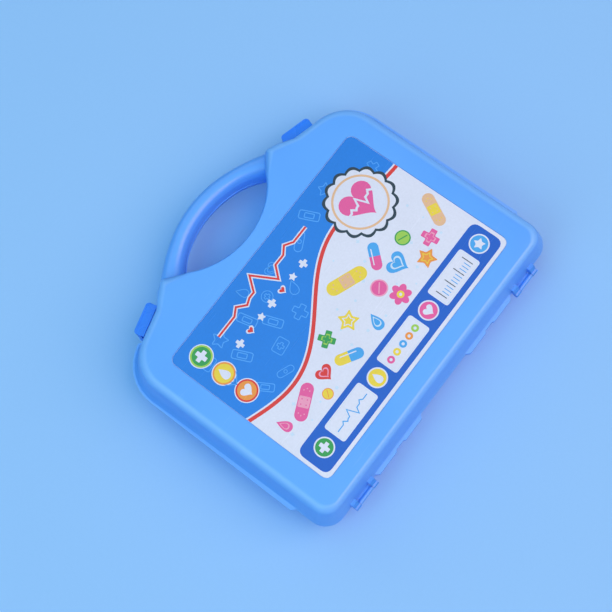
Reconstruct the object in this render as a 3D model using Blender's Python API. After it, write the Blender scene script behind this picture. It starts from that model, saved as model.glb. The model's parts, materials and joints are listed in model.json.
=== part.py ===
"""Toy doctor case: two moulded shells with half a carrying handle each, hinged along
the long side on two pins, held shut by two swing latches, with a printed label on the lid.

Metres, +Z up. The case lies on its base with the handle towards +Y.
While a piece is modelled, y is measured from the hinge-side wall and z from the parting
plane between the two shells. The case empty then centres the whole case on the origin.
"""

import math

import bmesh
import bpy
from mathutils import Matrix, Vector

for old in list(bpy.data.objects):
    bpy.data.objects.remove(old, do_unlink=True)


# Shell sizes
SHELL_LENGTH = 0.2574
SHELL_DEPTH = 0.0255
WALL = 0.0018
PARTING_GAP = 0.0003
EDGE_ROUND_HEIGHT = 0.008
DRAFT_SHARE = 0.40
CUT_OVERRUN = 0.004

# Rim outline
HINGE_CORNER_RADIUS = 0.015
SHOULDER_CORNER_RADIUS = 0.0325
SHOULDER_SIDE_Y = 0.1801
SHOULDER_ANGLE = math.radians(15.5)
SHOULDER_SPAN = 0.0515
ROOT_RADIUS = 0.0095
CROWN_RUN = 0.0105
CROWN_RISE = 0.0090
CROWN_RADIUS = 0.014
PEAK_RUN = 0.0085
PEAK_RISE = 0.0026
PEAK_RADIUS = 0.004

# Flat top of a shell, by how far it lies inside the rim
SIDE_RUN = 0.0123
HINGE_RUN = 0.0074
SHOULDER_RUN = 0.0117
TOP_HINGE_CORNER_RADIUS = 0.009
TOP_SHOULDER_CORNER_RADIUS = 0.027
TOP_ROOT_SHIFT = 0.002
TOP_PEAK_SHIFT = 0.003
TOP_PEAK_DROP = 0.0140
TOP_PEAK_RADIUS = 0.003

# Hand hole, by how far its ends lie inside the handle's peaks and how deep its lower edge bows
HOLE_END_INSET = 0.0130
HOLE_END_DROP = 0.0154
HOLE_SAG = 0.0194
HOLE_RUN = 0.0045
TOP_HOLE_END_SHIFT = math.radians(4.5)
HOLE_STEPS = 14

# Handle
HANDLE_RISE = 0.01802
HANDLE_WIDTH = 0.0146
HANDLE_HALF_THICKNESS = 0.0113
HANDLE_SEAT_REACH = 0.0074
HANDLE_SEAT_DROP = 0.0050
HANDLE_FLARE_WIDTH = 0.0060
HANDLE_FLARE_THICKNESS = 0.0020
HANDLE_FLARE_START_SHARE = 0.47
HANDLE_HOLLOW_SHARE = 0.74
HANDLE_STATIONS = 22
HANDLE_SECTION_STEPS = 12
HANDLE_SQUARENESS = 2.4

# Lap joint between the shells
TONGUE_HEIGHT = 0.0018
TONGUE_INSET = 0.00115
TONGUE_THICKNESS = 0.0009
REBATE_INSET = 0.00085
REBATE_HEIGHT = 0.0021

# Rim flange
FLANGE_THICKNESS = 0.0020
FLANGE_ROOT = 0.0008
SIDE_FLANGE_REACH = 0.0026
SIDE_FLANGE_START_Y = 0.0280
SIDE_FLANGE_LATCH_GAP = 0.0015
HINGE_FLANGE_REACH = 0.0024
HINGE_FLANGE_DIP = 0.0012
HINGE_FLANGE_EAR_GAP = 0.0042
HINGE_FLANGE_START_SHARE = 0.32
HINGE_FLANGE_DIP_SHARES = (0.59, 0.717)

# Hinge
HINGE_AXIS_REACH = 0.0030
HINGE_OUTER_EAR_INSET = 0.0267
HINGE_EAR_PITCH = 0.0190
EAR_WIDTH = 0.0050
EAR_RADIUS = 0.0027
EAR_ROOT_HEIGHT = 0.0062
EAR_ROOT = 0.0007
KNUCKLE_RADIUS = 0.0022
KNUCKLE_ROOT_HEIGHT = 0.0055
HINGE_PIN_RADIUS = 0.0012
RUNNING_GAP = 0.0003

# Latch
LATCH_ROOT_GAP = 0.0096
LATCH_LENGTH = 0.0245
LATCH_AXIS_REACH = 0.0030
LATCH_AXIS_DROP = 0.0085
LATCH_WALL = 0.0014
LATCH_FACE_REACH = 0.0066
LATCH_FOOT_DROP = 0.0110
LATCH_LIP_RISE = 0.0090
LATCH_LIP_FLARE = 0.0004
LATCH_SHELF_REACH = 0.0018
LATCH_TONGUE_REACH = -0.0010
LATCH_TONGUE_LENGTH = 0.0090
LATCH_CHEEK_REACH = 0.0017
LATCH_STUD_RADIUS = 0.0010
LATCH_STUD_LENGTH = 0.0018
CATCH_BOTTOM = 0.0040
CATCH_TOP = 0.0058
CATCH_REACH = 0.0016
CATCH_LENGTH = 0.0100
CATCH_ROOT = 0.0020
BRACKET_THICKNESS = 0.0024
BRACKET_RADIUS = 0.0019
BRACKET_ROOT_RISE = 0.0038

# Label
LABEL_SIDE_MARGIN = 0.0262
LABEL_HINGE_MARGIN = 0.0195
LABEL_SHOULDER_MARGIN = 0.0236
LABEL_SHIFT_X = 0.0005
LABEL_CORNER_RADIUS = 0.0058
LABEL_THICKNESS = 0.0003
LABEL_EDGE_GAP = 0.0004

# Fineness and fit of round shapes
CORNER_STEPS = 8
SMALL_CORNER_STEPS = 4
EDGE_ROUND_STEPS = 6
BARREL_STEPS = 24
LARGEST_ARC_SHARE = 0.48
LEAST_RADIUS_SHARE = 0.1
SHARP_EDGE_ANGLE = math.radians(35.0)

# Places that several pieces share
HALF_LENGTH = SHELL_LENGTH / 2
HALF_GAP = PARTING_GAP / 2
ROOT_X = HALF_LENGTH - SHOULDER_SPAN
ROOT_Y = SHOULDER_SIDE_Y + SHOULDER_SPAN * math.tan(SHOULDER_ANGLE)
CROWN = Vector((ROOT_X - CROWN_RUN, ROOT_Y + CROWN_RISE))
PEAK = Vector((CROWN.x - PEAK_RUN, CROWN.y + PEAK_RISE))

# The hand hole's lower edge, as an arc through its two ends
HOLE_END = Vector((PEAK.x - HOLE_END_INSET, PEAK.y - HOLE_END_DROP))
HOLE_RADIUS = (HOLE_END.x**2 + HOLE_SAG**2) / (2 * HOLE_SAG)
HOLE_CENTRE_Y = HOLE_END.y - HOLE_SAG + HOLE_RADIUS
HOLE_END_ANGLE = math.atan2(HOLE_END.x, HOLE_RADIUS - HOLE_SAG)

# The handle's middle line, as an arc from seat to seat over the top
HANDLE_SEAT = (HOLE_END + PEAK) / 2 + Vector((HANDLE_SEAT_REACH, -HANDLE_SEAT_DROP))
HANDLE_TOP_Y = PEAK.y + HANDLE_RISE
HANDLE_BOW = HANDLE_TOP_Y - HANDLE_WIDTH / 2 - HANDLE_SEAT.y
HANDLE_ARC_RADIUS = (HANDLE_SEAT.x**2 + HANDLE_BOW**2) / (2 * HANDLE_BOW)
HANDLE_CENTRE_Y = HANDLE_SEAT.y + HANDLE_BOW - HANDLE_ARC_RADIUS
HANDLE_END = math.atan2(HANDLE_SEAT.x, HANDLE_ARC_RADIUS - HANDLE_BOW)

# The fittings, each from the end of the case that carries it
HINGE_OUTER_EAR_X = HALF_LENGTH - HINGE_OUTER_EAR_INSET
HINGE_INNER_EAR_X = HINGE_OUTER_EAR_X - HINGE_EAR_PITCH
HINGE_FLANGE_END = HINGE_INNER_EAR_X - HINGE_FLANGE_EAR_GAP
HINGE_FLANGE_START = HINGE_FLANGE_START_SHARE * HINGE_FLANGE_END
HINGE_Y = -HINGE_AXIS_REACH
LATCH_X = ROOT_X + LATCH_ROOT_GAP
SIDE_FLANGE_END_X = LATCH_X + LATCH_LENGTH / 2 + SIDE_FLANGE_LATCH_GAP
LABEL_LENGTH = SHELL_LENGTH - 2 * LABEL_SIDE_MARGIN
LABEL_WIDTH = SHOULDER_SIDE_Y - LABEL_HINGE_MARGIN - LABEL_SHOULDER_MARGIN
LABEL_CENTRE_Y = LABEL_HINGE_MARGIN + LABEL_WIDTH / 2
CASE_BACK_Y = HINGE_Y - EAR_RADIUS
CASE_CENTRE_Y = (HANDLE_TOP_Y + CASE_BACK_Y) / 2


def material(name, colour, roughness):
    """A plain moulded or printed surface."""
    made = bpy.data.materials.new(name)
    made.use_nodes = True
    shader = made.node_tree.nodes["Principled BSDF"]
    shader.inputs["Base Color"].default_value = (*colour, 1.0)
    shader.inputs["Roughness"].default_value = roughness
    shader.inputs["Metallic"].default_value = 0.0
    return made


SHELL_BLUE = material("shell_blue", (0.127, 0.396, 0.983), 0.32)
BASE_BLUE = material("base_blue", (0.117, 0.376, 0.955), 0.34)
LATCH_BLUE = material("latch_blue", (0.080, 0.320, 0.950), 0.35)
PIN_BLUE = material("pin_blue", (0.070, 0.270, 0.820), 0.40)
LABEL_PAPER = material("label_paper", (0.72, 0.77, 0.92), 0.28)


def loft(name, loops, round_trip=False):
    """A closed solid through loops of equal point counts, with flat ends or joined end to end."""
    mesh = bpy.data.meshes.new(name)
    work = bmesh.new()
    rings = [[work.verts.new(point) for point in loop] for loop in loops]
    if round_trip:
        rings.append(rings[0])
    for lower, upper in zip(rings, rings[1:]):
        count = len(lower)
        for i in range(count):
            j = (i + 1) % count
            work.faces.new((lower[i], lower[j], upper[j], upper[i]))
    if not round_trip:
        work.faces.new(rings[0][::-1])
        work.faces.new(rings[-1])
    bmesh.ops.recalc_face_normals(work, faces=work.faces)
    work.to_mesh(mesh)
    work.free()
    made = bpy.data.objects.new(name, mesh)
    bpy.context.scene.collection.objects.link(made)
    return made


def prism(name, outline, start, end, frame=None):
    """A flat outline pushed from start to end along its own third axis."""
    loops = [[Vector((x, y, z)) for x, y in outline] for z in (start, end)]
    if frame is not None:
        loops = [[frame @ point for point in loop] for loop in loops]
    return loft(name, loops)


def disc(radius, centre=(0.0, 0.0), steps=BARREL_STEPS):
    """A round outline whose first point lies on its first axis."""
    turns = [2 * math.pi * k / steps for k in range(steps)]
    return [(centre[0] + radius * math.cos(a), centre[1] + radius * math.sin(a)) for a in turns]


def hide_helper(helper):
    helper.hide_render = True
    helper.display_type = "WIRE"


def boolean(target, other, operation):
    """Adds or cuts a helper solid that travels with the piece."""
    step = target.modifiers.new(f"{operation.lower()}_{other.name}", "BOOLEAN")
    step.operation = operation
    step.solver = "EXACT"
    step.use_self = True
    step.object = other
    other.parent = target
    hide_helper(other)


def add(target, *others):
    for other in others:
        boolean(target, other, "UNION")


def cut(target, *others):
    for other in others:
        boolean(target, other, "DIFFERENCE")


def inset(corners, distance):
    """Moves every edge of a corner list inwards and fits the corner radii to it."""
    moved = []
    count = len(corners)
    for i, (point, radius, steps) in enumerate(corners):
        before = (point - corners[i - 1][0]).normalized()
        after = (corners[(i + 1) % count][0] - point).normalized()
        turn = before.x * after.y - before.y * after.x
        inward = Vector((-before.y, before.x)) + Vector((-after.y, after.x))
        inward *= distance / (1 + before.dot(after))
        fitted = radius - distance if turn > 0 else radius + distance
        moved.append((point + inward, max(fitted, LEAST_RADIUS_SHARE * radius), steps))
    return moved


def rounded(corners):
    """The points of a corner list, with each radius as an arc that its edges can hold."""
    points = []
    count = len(corners)
    for i, (point, radius, steps) in enumerate(corners):
        if steps == 0:
            points.append(point)
            continue
        to_before = corners[i - 1][0] - point
        to_after = corners[(i + 1) % count][0] - point
        opening = to_before.angle(to_after)
        longest = LARGEST_ARC_SHARE * min(to_before.length, to_after.length)
        reach = min(radius / math.tan(opening / 2), longest)
        fitted = reach * math.tan(opening / 2)
        start = point + to_before.normalized() * reach
        bisector = (to_before.normalized() + to_after.normalized()).normalized()
        centre = point + bisector * math.hypot(fitted, reach)
        first = start - centre
        side = 1 if to_before.x * to_after.y - to_before.y * to_after.x < 0 else -1
        sweep = side * (math.pi - opening)
        for k in range(steps + 1):
            points.append(centre + Matrix.Rotation(sweep * k / steps, 2) @ first)
    return points


def mirrored(right, across):
    """A full corner list from its right half and the stretch that crosses the middle."""
    left = [(Vector((-p.x, p.y)), radius, steps) for p, radius, steps in reversed(right)]
    return right + across + left


def hole_edge(radius, end_angle):
    """The lower edge of the hand hole, from its right end to its left end."""
    turns = [end_angle * (1 - 2 * k / HOLE_STEPS) for k in range(HOLE_STEPS + 1)]
    return [
        (Vector((radius * math.sin(a), HOLE_CENTRE_Y - radius * math.cos(a))), 0.0, 0)
        for a in turns
    ]


def shoulder_y(x, inside=0.0):
    """The height of the sloping shoulder above the hinge wall, or of a line inside it."""
    rise = (HALF_LENGTH - x) * math.tan(SHOULDER_ANGLE)
    return SHOULDER_SIDE_Y + rise - inside / math.cos(SHOULDER_ANGLE)


def wall_middle(run, height):
    """How far inside the rim the middle of a leaning wall lies, at a height from the parting."""
    return DRAFT_SHARE * run * height / (SHELL_DEPTH - EDGE_ROUND_HEIGHT) + WALL / 2


def rim_corners():
    """The outline of a shell's wall at the parting plane, handle left out."""
    right = [
        (Vector((HALF_LENGTH, 0.0)), HINGE_CORNER_RADIUS, CORNER_STEPS),
        (Vector((HALF_LENGTH, SHOULDER_SIDE_Y)), SHOULDER_CORNER_RADIUS, CORNER_STEPS),
        (Vector((ROOT_X, ROOT_Y)), ROOT_RADIUS, SMALL_CORNER_STEPS),
        (CROWN, CROWN_RADIUS, SMALL_CORNER_STEPS),
        (PEAK, PEAK_RADIUS, SMALL_CORNER_STEPS),
    ]
    return mirrored(right, hole_edge(HOLE_RADIUS, HOLE_END_ANGLE))


def top_corners():
    """The outline of a shell's flat top, with the rim's corners one for one."""
    side_x = HALF_LENGTH - SIDE_RUN
    root_x = ROOT_X + TOP_ROOT_SHIFT
    root = Vector((root_x, shoulder_y(root_x, SHOULDER_RUN)))
    peak = Vector((PEAK.x + TOP_PEAK_SHIFT, PEAK.y - TOP_PEAK_DROP))
    right = [
        (Vector((side_x, HINGE_RUN)), TOP_HINGE_CORNER_RADIUS, CORNER_STEPS),
        (
            Vector((side_x, shoulder_y(side_x, SHOULDER_RUN))),
            TOP_SHOULDER_CORNER_RADIUS,
            CORNER_STEPS,
        ),
        (root, ROOT_RADIUS, SMALL_CORNER_STEPS),
        ((root + peak) / 2, CROWN_RADIUS, SMALL_CORNER_STEPS),
        (peak, TOP_PEAK_RADIUS, SMALL_CORNER_STEPS),
    ]
    return mirrored(right, hole_edge(HOLE_RADIUS + HOLE_RUN, HOLE_END_ANGLE - TOP_HOLE_END_SHIFT))


def overrun(wall):
    """How far a form runs past the parting plane, a hollow further than the form round it."""
    return CUT_OVERRUN if wall > 0 else CUT_OVERRUN / 2


def shell_form(name, wall, side):
    """A shell's outer form, or the hollow one wall inside it. Side is 1 up and -1 down."""
    rim = rounded(inset(rim_corners(), wall))
    top = rounded(inset(top_corners(), wall))
    depth = SHELL_DEPTH - wall
    bend = EDGE_ROUND_HEIGHT - wall / 2
    levels = [(0.0, -overrun(wall)), (0.0, 0.0), (DRAFT_SHARE, depth - bend)]
    for k in range(1, EDGE_ROUND_STEPS + 1):
        turn = math.pi / 2 * k / EDGE_ROUND_STEPS
        share = DRAFT_SHARE + (1 - DRAFT_SHARE) * (1 - math.cos(turn))
        levels.append((share, depth - bend * (1 - math.sin(turn))))
    loops = [
        [Vector((*low.lerp(high, share), side * height)) for low, high in zip(rim, top)]
        for share, height in levels
    ]
    return loft(name, loops)


def flare(turn):
    """How far the handle has opened out towards its root, from 0 to 1."""
    start = HANDLE_FLARE_START_SHARE * HANDLE_END
    along = (abs(turn) - start) / (HANDLE_END - start)
    return max(along, 0.0) ** 2


def handle_form(name, wall, end, side):
    """Half of the handle as a bowed bar, or the hollow one wall inside it."""
    power = 2 / HANDLE_SQUARENESS
    arcs = [math.pi * k / HANDLE_SECTION_STEPS for k in range(HANDLE_SECTION_STEPS + 1)]
    loops = []
    for k in range(HANDLE_STATIONS + 1):
        turn = end * (2 * k / HANDLE_STATIONS - 1)
        out = Vector((math.sin(turn), math.cos(turn)))
        middle = Vector((0.0, HANDLE_CENTRE_Y)) + out * HANDLE_ARC_RADIUS
        half_width = HANDLE_WIDTH / 2 + flare(turn) * HANDLE_FLARE_WIDTH / 2 - wall
        half_height = HANDLE_HALF_THICKNESS + flare(turn) * HANDLE_FLARE_THICKNESS - wall
        section = [(half_width, -overrun(wall))]
        for a in arcs:
            across = math.copysign(abs(math.cos(a)) ** power, math.cos(a))
            section.append((half_width * across, half_height * math.sin(a) ** power))
        section.append((-half_width, -overrun(wall)))
        loops.append([Vector((*(middle + out * t), side * z)) for t, z in section])
    return loft(name, loops)


def parting_cutter(name, side):
    """A block that leaves a shell flat at half the parting gap."""
    reach = SHELL_LENGTH
    outline = [(-reach, -reach), (reach, -reach), (reach, reach), (-reach, reach)]
    return prism(name, outline, -side * 2 * CUT_OVERRUN, side * HALF_GAP)


def rim_block(name, inside, start, end):
    """A block inside the rim outline, which cuts the rebate of the lap joint."""
    outline = [tuple(point) for point in rounded(inset(rim_corners(), inside))]
    return prism(name, outline, start, end)


def rim_band(name, outside, inside, start, end):
    """A thin wall that follows the rim outline, for the tongue of the lap joint."""
    outer = rounded(inset(rim_corners(), outside))
    inner = rounded(inset(rim_corners(), inside))
    corners = ((outer, start), (outer, end), (inner, end), (inner, start))
    return loft(name, [[Vector((*p, z)) for p in line] for line, z in corners], True)


def flange_line(outside):
    """A line beside the rim: along a short side, round its corner and up the shoulder."""
    outline = rounded(inset(rim_corners(), -outside))
    slant = outside + FLANGE_ROOT
    start = Vector((HALF_LENGTH + outside, SIDE_FLANGE_START_Y + slant))
    end_x = SIDE_FLANGE_END_X + slant
    corner = outline[CORNER_STEPS + 1 : 2 * (CORNER_STEPS + 1)]
    end = Vector((end_x, shoulder_y(end_x, -outside)))
    return [start, *(point for point in corner if point.x > end_x), end]


def flange_strips(prefix, side):
    """The thin ledges round the short sides and along the hinge side, to be cut at the parting."""
    start, end = -side * CUT_OVERRUN / 4, side * (HALF_GAP + FLANGE_THICKNESS)
    side_strip = flange_line(SIDE_FLANGE_REACH) + flange_line(-FLANGE_ROOT)[::-1]
    rise = HINGE_FLANGE_REACH + FLANGE_ROOT
    step = HINGE_FLANGE_REACH - HINGE_FLANGE_DIP
    dip_start, dip_end = (share * HINGE_FLANGE_END for share in HINGE_FLANGE_DIP_SHARES)
    hinge_strip = [
        (HINGE_FLANGE_START, FLANGE_ROOT),
        (HINGE_FLANGE_START + rise, -HINGE_FLANGE_REACH),
        (dip_start, -HINGE_FLANGE_REACH),
        (dip_start + step, -HINGE_FLANGE_DIP),
        (dip_end - step, -HINGE_FLANGE_DIP),
        (dip_end, -HINGE_FLANGE_REACH),
        (HINGE_FLANGE_END - rise, -HINGE_FLANGE_REACH),
        (HINGE_FLANGE_END, FLANGE_ROOT),
    ]
    strips = []
    for place, outline in (("side", side_strip), ("hinge", hinge_strip)):
        for hand, sign in (("left", -1), ("right", 1)):
            points = [(sign * x, y) for x, y in outline]
            strips.append(prism(f"{prefix}_{hand}_{place}_flange", points, start, end))
    return strips


def along_x(x):
    """A frame whose outline lies across the hinge and whose push runs along X."""
    return Matrix(((0, 0, 1, x), (1, 0, 0, 0), (0, 1, 0, 0), (0, 0, 0, 1)))


def hinge_lug(name, x, width, radius, root_height, side):
    """A rounded lug from a shell's hinge wall to the hinge axis."""
    turns = [math.pi / 2 + math.pi * k / BARREL_STEPS for k in range(BARREL_STEPS + 1)]
    nose = [(HINGE_Y + radius * math.cos(a), radius * math.sin(a)) for a in turns]
    tip_y = HINGE_Y + radius
    root = [
        (EAR_ROOT, side * HALF_GAP),
        (EAR_ROOT, side * REBATE_HEIGHT),
        (wall_middle(HINGE_RUN, root_height), side * root_height),
        (-radius / 2, side * root_height),
    ]
    if side > 0:
        outline = [*root, *nose, (tip_y, 0.0), (tip_y, HALF_GAP)]
    else:
        outline = [(tip_y, -HALF_GAP), (tip_y, 0.0), *nose, *root[::-1]]
    return prism(name, outline, -width / 2, width / 2, along_x(x))


def across_hinge(name, x, length, radius):
    """A round bar on the hinge axis."""
    return prism(name, disc(radius, (HINGE_Y, 0.0)), -length / 2, length / 2, along_x(x))


def on_shoulder(hand):
    """A frame at the latch: first axis outwards, second up, third along the shoulder."""
    along = Vector((hand * math.cos(SHOULDER_ANGLE), -math.sin(SHOULDER_ANGLE), 0.0))
    out = Vector((hand * math.sin(SHOULDER_ANGLE), math.cos(SHOULDER_ANGLE), 0.0))
    frame = Matrix.Identity(4)
    frame.col[0].xyz = out
    frame.col[1].xyz = (0.0, 0.0, 1.0)
    frame.col[2].xyz = along
    frame.col[3].xyz = (hand * LATCH_X, shoulder_y(LATCH_X), 0.0)
    return frame


def catch(name, hand):
    """The wedge on the lid's wall that the latch's tongue hooks over."""
    outline = [
        (-CATCH_ROOT, CATCH_BOTTOM - CATCH_REACH),
        (CATCH_REACH, CATCH_BOTTOM),
        (CATCH_REACH, CATCH_TOP),
        (-CATCH_ROOT, CATCH_TOP),
    ]
    return prism(name, outline, -CATCH_LENGTH / 2, CATCH_LENGTH / 2, on_shoulder(hand))


def bracket_places():
    """Where the two brackets of a latch stand along the shoulder, middle to middle."""
    cheek_face = LATCH_LENGTH / 2 - LATCH_WALL
    middle = cheek_face - RUNNING_GAP - BRACKET_THICKNESS / 2
    return (-middle, middle)


def bracket(name, hand, middle):
    """A lug on the base's wall that carries one end of a latch."""
    turns = [-math.pi / 2 + math.pi * k / BARREL_STEPS for k in range(BARREL_STEPS + 1)]
    nose = [
        (
            LATCH_AXIS_REACH + BRACKET_RADIUS * math.cos(a),
            -LATCH_AXIS_DROP + BRACKET_RADIUS * math.sin(a),
        )
        for a in turns
    ]
    low = LATCH_AXIS_DROP + BRACKET_RADIUS
    high = LATCH_AXIS_DROP - BRACKET_ROOT_RISE
    outline = [
        (-wall_middle(SHOULDER_RUN, low), -low),
        *nose,
        (-wall_middle(SHOULDER_RUN, high), -high),
    ]
    start = middle - BRACKET_THICKNESS / 2
    return prism(name, outline, start, start + BRACKET_THICKNESS, on_shoulder(hand))


def stud_socket(name, hand, middle):
    """The blind hole in a bracket's outer face that takes a latch stud."""
    outward = math.copysign(1.0, middle)
    mouth = middle + outward * (BRACKET_THICKNESS / 2 + CUT_OVERRUN)
    bottom = middle + outward * (BRACKET_THICKNESS / 2 - LATCH_STUD_LENGTH)
    hole = disc(LATCH_STUD_RADIUS + RUNNING_GAP, (LATCH_AXIS_REACH, -LATCH_AXIS_DROP))
    return prism(name, hole, min(mouth, bottom), max(mouth, bottom), on_shoulder(hand))


def label_outline(grow):
    """The label's rounded rectangle, grown by a clearance for its recess."""
    half_x, half_y = LABEL_LENGTH / 2, LABEL_WIDTH / 2
    signs = ((-1, -1), (1, -1), (1, 1), (-1, 1))
    centre = Vector((LABEL_SHIFT_X, LABEL_CENTRE_Y))
    corners = [
        (centre + Vector((sx * half_x, sy * half_y)), LABEL_CORNER_RADIUS, CORNER_STEPS)
        for sx, sy in signs
    ]
    return [tuple(point) for point in rounded(inset(corners, -grow))]


def finish(piece, origin, surface, parent):
    """Puts a piece's origin on its joint or seat, and gives it its colour and carrier."""
    piece.data.transform(Matrix.Translation(-origin))
    for helper in piece.children:
        helper.data.transform(Matrix.Translation(-origin))
    piece.location = origin
    piece.data.materials.append(surface)
    piece.data.shade_smooth()
    piece.data.set_sharp_from_angle(angle=SHARP_EDGE_ANGLE)
    piece.parent = parent
    if parent is not None and parent.type != "EMPTY":
        piece.location = origin - parent.location


# Case empty, which centres the case on the origin with its base on the ground
case = bpy.data.objects.new("case", None)
bpy.context.scene.collection.objects.link(case)
case.location = (0.0, -CASE_CENTRE_Y, SHELL_DEPTH)


# Base shell
base_shell = shell_form("base_shell", 0.0, -1)
add(base_shell, handle_form("base_handle", 0.0, HANDLE_END, -1), *flange_strips("base", -1))
cut(base_shell, shell_form("base_hollow", WALL, -1))
cut(base_shell, handle_form("base_handle_hollow", WALL, HANDLE_HOLLOW_SHARE * HANDLE_END, -1))
cut(base_shell, parting_cutter("base_parting", -1))
tongue_inside = TONGUE_INSET + TONGUE_THICKNESS
add(base_shell, rim_band("base_tongue", TONGUE_INSET, tongue_inside, -TONGUE_HEIGHT, TONGUE_HEIGHT))
HINGE_X = (HINGE_INNER_EAR_X + HINGE_OUTER_EAR_X) / 2
KNUCKLE_WIDTH = HINGE_OUTER_EAR_X - HINGE_INNER_EAR_X - EAR_WIDTH - 2 * RUNNING_GAP
for hand_name, hand in (("left", -1), ("right", 1)):
    knuckle = hinge_lug(
        f"{hand_name}_knuckle",
        hand * HINGE_X,
        KNUCKLE_WIDTH,
        KNUCKLE_RADIUS,
        KNUCKLE_ROOT_HEIGHT,
        -1,
    )
    add(base_shell, knuckle)
    bore_length = KNUCKLE_WIDTH + 2 * RUNNING_GAP
    bore = across_hinge(
        f"{hand_name}_knuckle_bore", hand * HINGE_X, bore_length, HINGE_PIN_RADIUS + RUNNING_GAP
    )
    cut(base_shell, bore)
    for end_name, middle in zip(("inner", "outer"), bracket_places()):
        add(base_shell, bracket(f"{hand_name}_{end_name}_bracket", hand, middle))
        cut(base_shell, stud_socket(f"{hand_name}_{end_name}_socket", hand, middle))
finish(base_shell, Vector((0.0, 0.0, 0.0)), BASE_BLUE, case)


# Lid shell, with its origin on the hinge axis
lid_shell = shell_form("lid_shell", 0.0, 1)
add(lid_shell, handle_form("lid_handle", 0.0, HANDLE_END, 1), *flange_strips("lid", 1))
cut(lid_shell, shell_form("lid_hollow", WALL, 1))
cut(lid_shell, handle_form("lid_handle_hollow", WALL, HANDLE_HOLLOW_SHARE * HANDLE_END, 1))
cut(lid_shell, parting_cutter("lid_parting", 1))
cut(lid_shell, rim_block("lid_rebate", REBATE_INSET, -REBATE_HEIGHT, REBATE_HEIGHT))
for hand_name, hand in (("left", -1), ("right", 1)):
    add(lid_shell, catch(f"{hand_name}_catch", hand))
    for ear_name, ear_x in (("inner", HINGE_INNER_EAR_X), ("outer", HINGE_OUTER_EAR_X)):
        ear = hinge_lug(
            f"{hand_name}_{ear_name}_ear",
            hand * ear_x,
            EAR_WIDTH,
            EAR_RADIUS,
            EAR_ROOT_HEIGHT,
            1,
        )
        add(lid_shell, ear)
    bore_length = HINGE_OUTER_EAR_X - HINGE_INNER_EAR_X + EAR_WIDTH + 2 * RUNNING_GAP
    bore = across_hinge(
        f"{hand_name}_ear_bore", hand * HINGE_X, bore_length, HINGE_PIN_RADIUS + RUNNING_GAP
    )
    cut(lid_shell, bore)
LABEL_SEAT = SHELL_DEPTH - LABEL_THICKNESS - RUNNING_GAP
label_recess = prism(
    "label_recess", label_outline(LABEL_EDGE_GAP), LABEL_SEAT, SHELL_DEPTH + CUT_OVERRUN
)
cut(lid_shell, label_recess)
HINGE_ORIGIN = Vector((0.0, HINGE_Y, 0.0))
finish(lid_shell, HINGE_ORIGIN, SHELL_BLUE, case)


# Hinge pins, held in the lid's ears and turning in the base's knuckles
for hand_name, hand in (("left", -1), ("right", 1)):
    length = HINGE_OUTER_EAR_X - HINGE_INNER_EAR_X + EAR_WIDTH
    pin = across_hinge(f"{hand_name}_hinge_pin", hand * HINGE_X, length, HINGE_PIN_RADIUS)
    finish(pin, Vector((hand * HINGE_X, HINGE_Y, 0.0)), PIN_BLUE, case)


# Swing latches, each with its origin on its studs
for hand_name, hand in (("left", -1), ("right", 1)):
    frame = on_shoulder(hand)
    half = LATCH_LENGTH / 2
    inner_face = LATCH_FACE_REACH - LATCH_WALL
    shelf_bottom = CATCH_TOP + RUNNING_GAP
    shelf_top = shelf_bottom + LATCH_WALL
    face = [
        (LATCH_FACE_REACH, -LATCH_FOOT_DROP),
        (LATCH_FACE_REACH, shelf_bottom),
        (LATCH_FACE_REACH + LATCH_LIP_FLARE, LATCH_LIP_RISE),
        (inner_face + LATCH_LIP_FLARE, LATCH_LIP_RISE),
        (inner_face, shelf_top),
        (LATCH_SHELF_REACH, shelf_top),
        (LATCH_SHELF_REACH, shelf_bottom),
        (inner_face, shelf_bottom),
        (inner_face, -LATCH_FOOT_DROP),
    ]
    latch = prism(f"{hand_name}_latch", face, -half, half, frame)
    tip = [
        (LATCH_TONGUE_REACH, shelf_bottom),
        (inner_face, shelf_bottom),
        (inner_face, shelf_top),
        (LATCH_TONGUE_REACH, shelf_top),
    ]
    tongue_half = LATCH_TONGUE_LENGTH / 2
    add(latch, prism(f"{hand_name}_latch_tongue", tip, -tongue_half, tongue_half, frame))
    cheek = [
        (LATCH_CHEEK_REACH, -LATCH_FOOT_DROP + LATCH_WALL),
        (LATCH_FACE_REACH - LATCH_WALL / 2, -LATCH_FOOT_DROP + LATCH_WALL / 4),
        (LATCH_FACE_REACH - LATCH_WALL / 2, LATCH_LIP_RISE - LATCH_WALL / 2),
        (LATCH_CHEEK_REACH, shelf_top + LATCH_WALL / 2),
    ]
    axis_place = (LATCH_AXIS_REACH, -LATCH_AXIS_DROP)
    for end_name, end in (("inner", -1), ("outer", 1)):
        outer, inner = end * half, end * (half - LATCH_WALL)
        name = f"{hand_name}_{end_name}_cheek"
        add(latch, prism(name, cheek, min(outer, inner), max(outer, inner), frame))
        tip_end = end * (half - LATCH_WALL - LATCH_STUD_LENGTH)
        root_end = end * (half - LATCH_WALL / 2)
        stud = disc(LATCH_STUD_RADIUS, axis_place)
        name = f"{hand_name}_{end_name}_stud"
        add(latch, prism(name, stud, min(tip_end, root_end), max(tip_end, root_end), frame))
    latch_origin = frame @ Vector((LATCH_AXIS_REACH, -LATCH_AXIS_DROP, 0.0))
    finish(latch, latch_origin, LATCH_BLUE, case)


# Printed label in the lid's shallow recess
label_bottom = LABEL_SEAT + RUNNING_GAP
lid_label = prism("lid_label", label_outline(0.0), label_bottom, label_bottom + LABEL_THICKNESS)
LABEL_ORIGIN = Vector((LABEL_SHIFT_X, LABEL_CENTRE_Y, label_bottom))
finish(lid_label, LABEL_ORIGIN, LABEL_PAPER, lid_shell)
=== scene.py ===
"""Looks of the toy doctor case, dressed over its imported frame. Metres, +Z up, handle towards +Y."""

import json
import math

import bmesh
import bpy
from mathutils import Matrix, Quaternion, Vector

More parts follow.
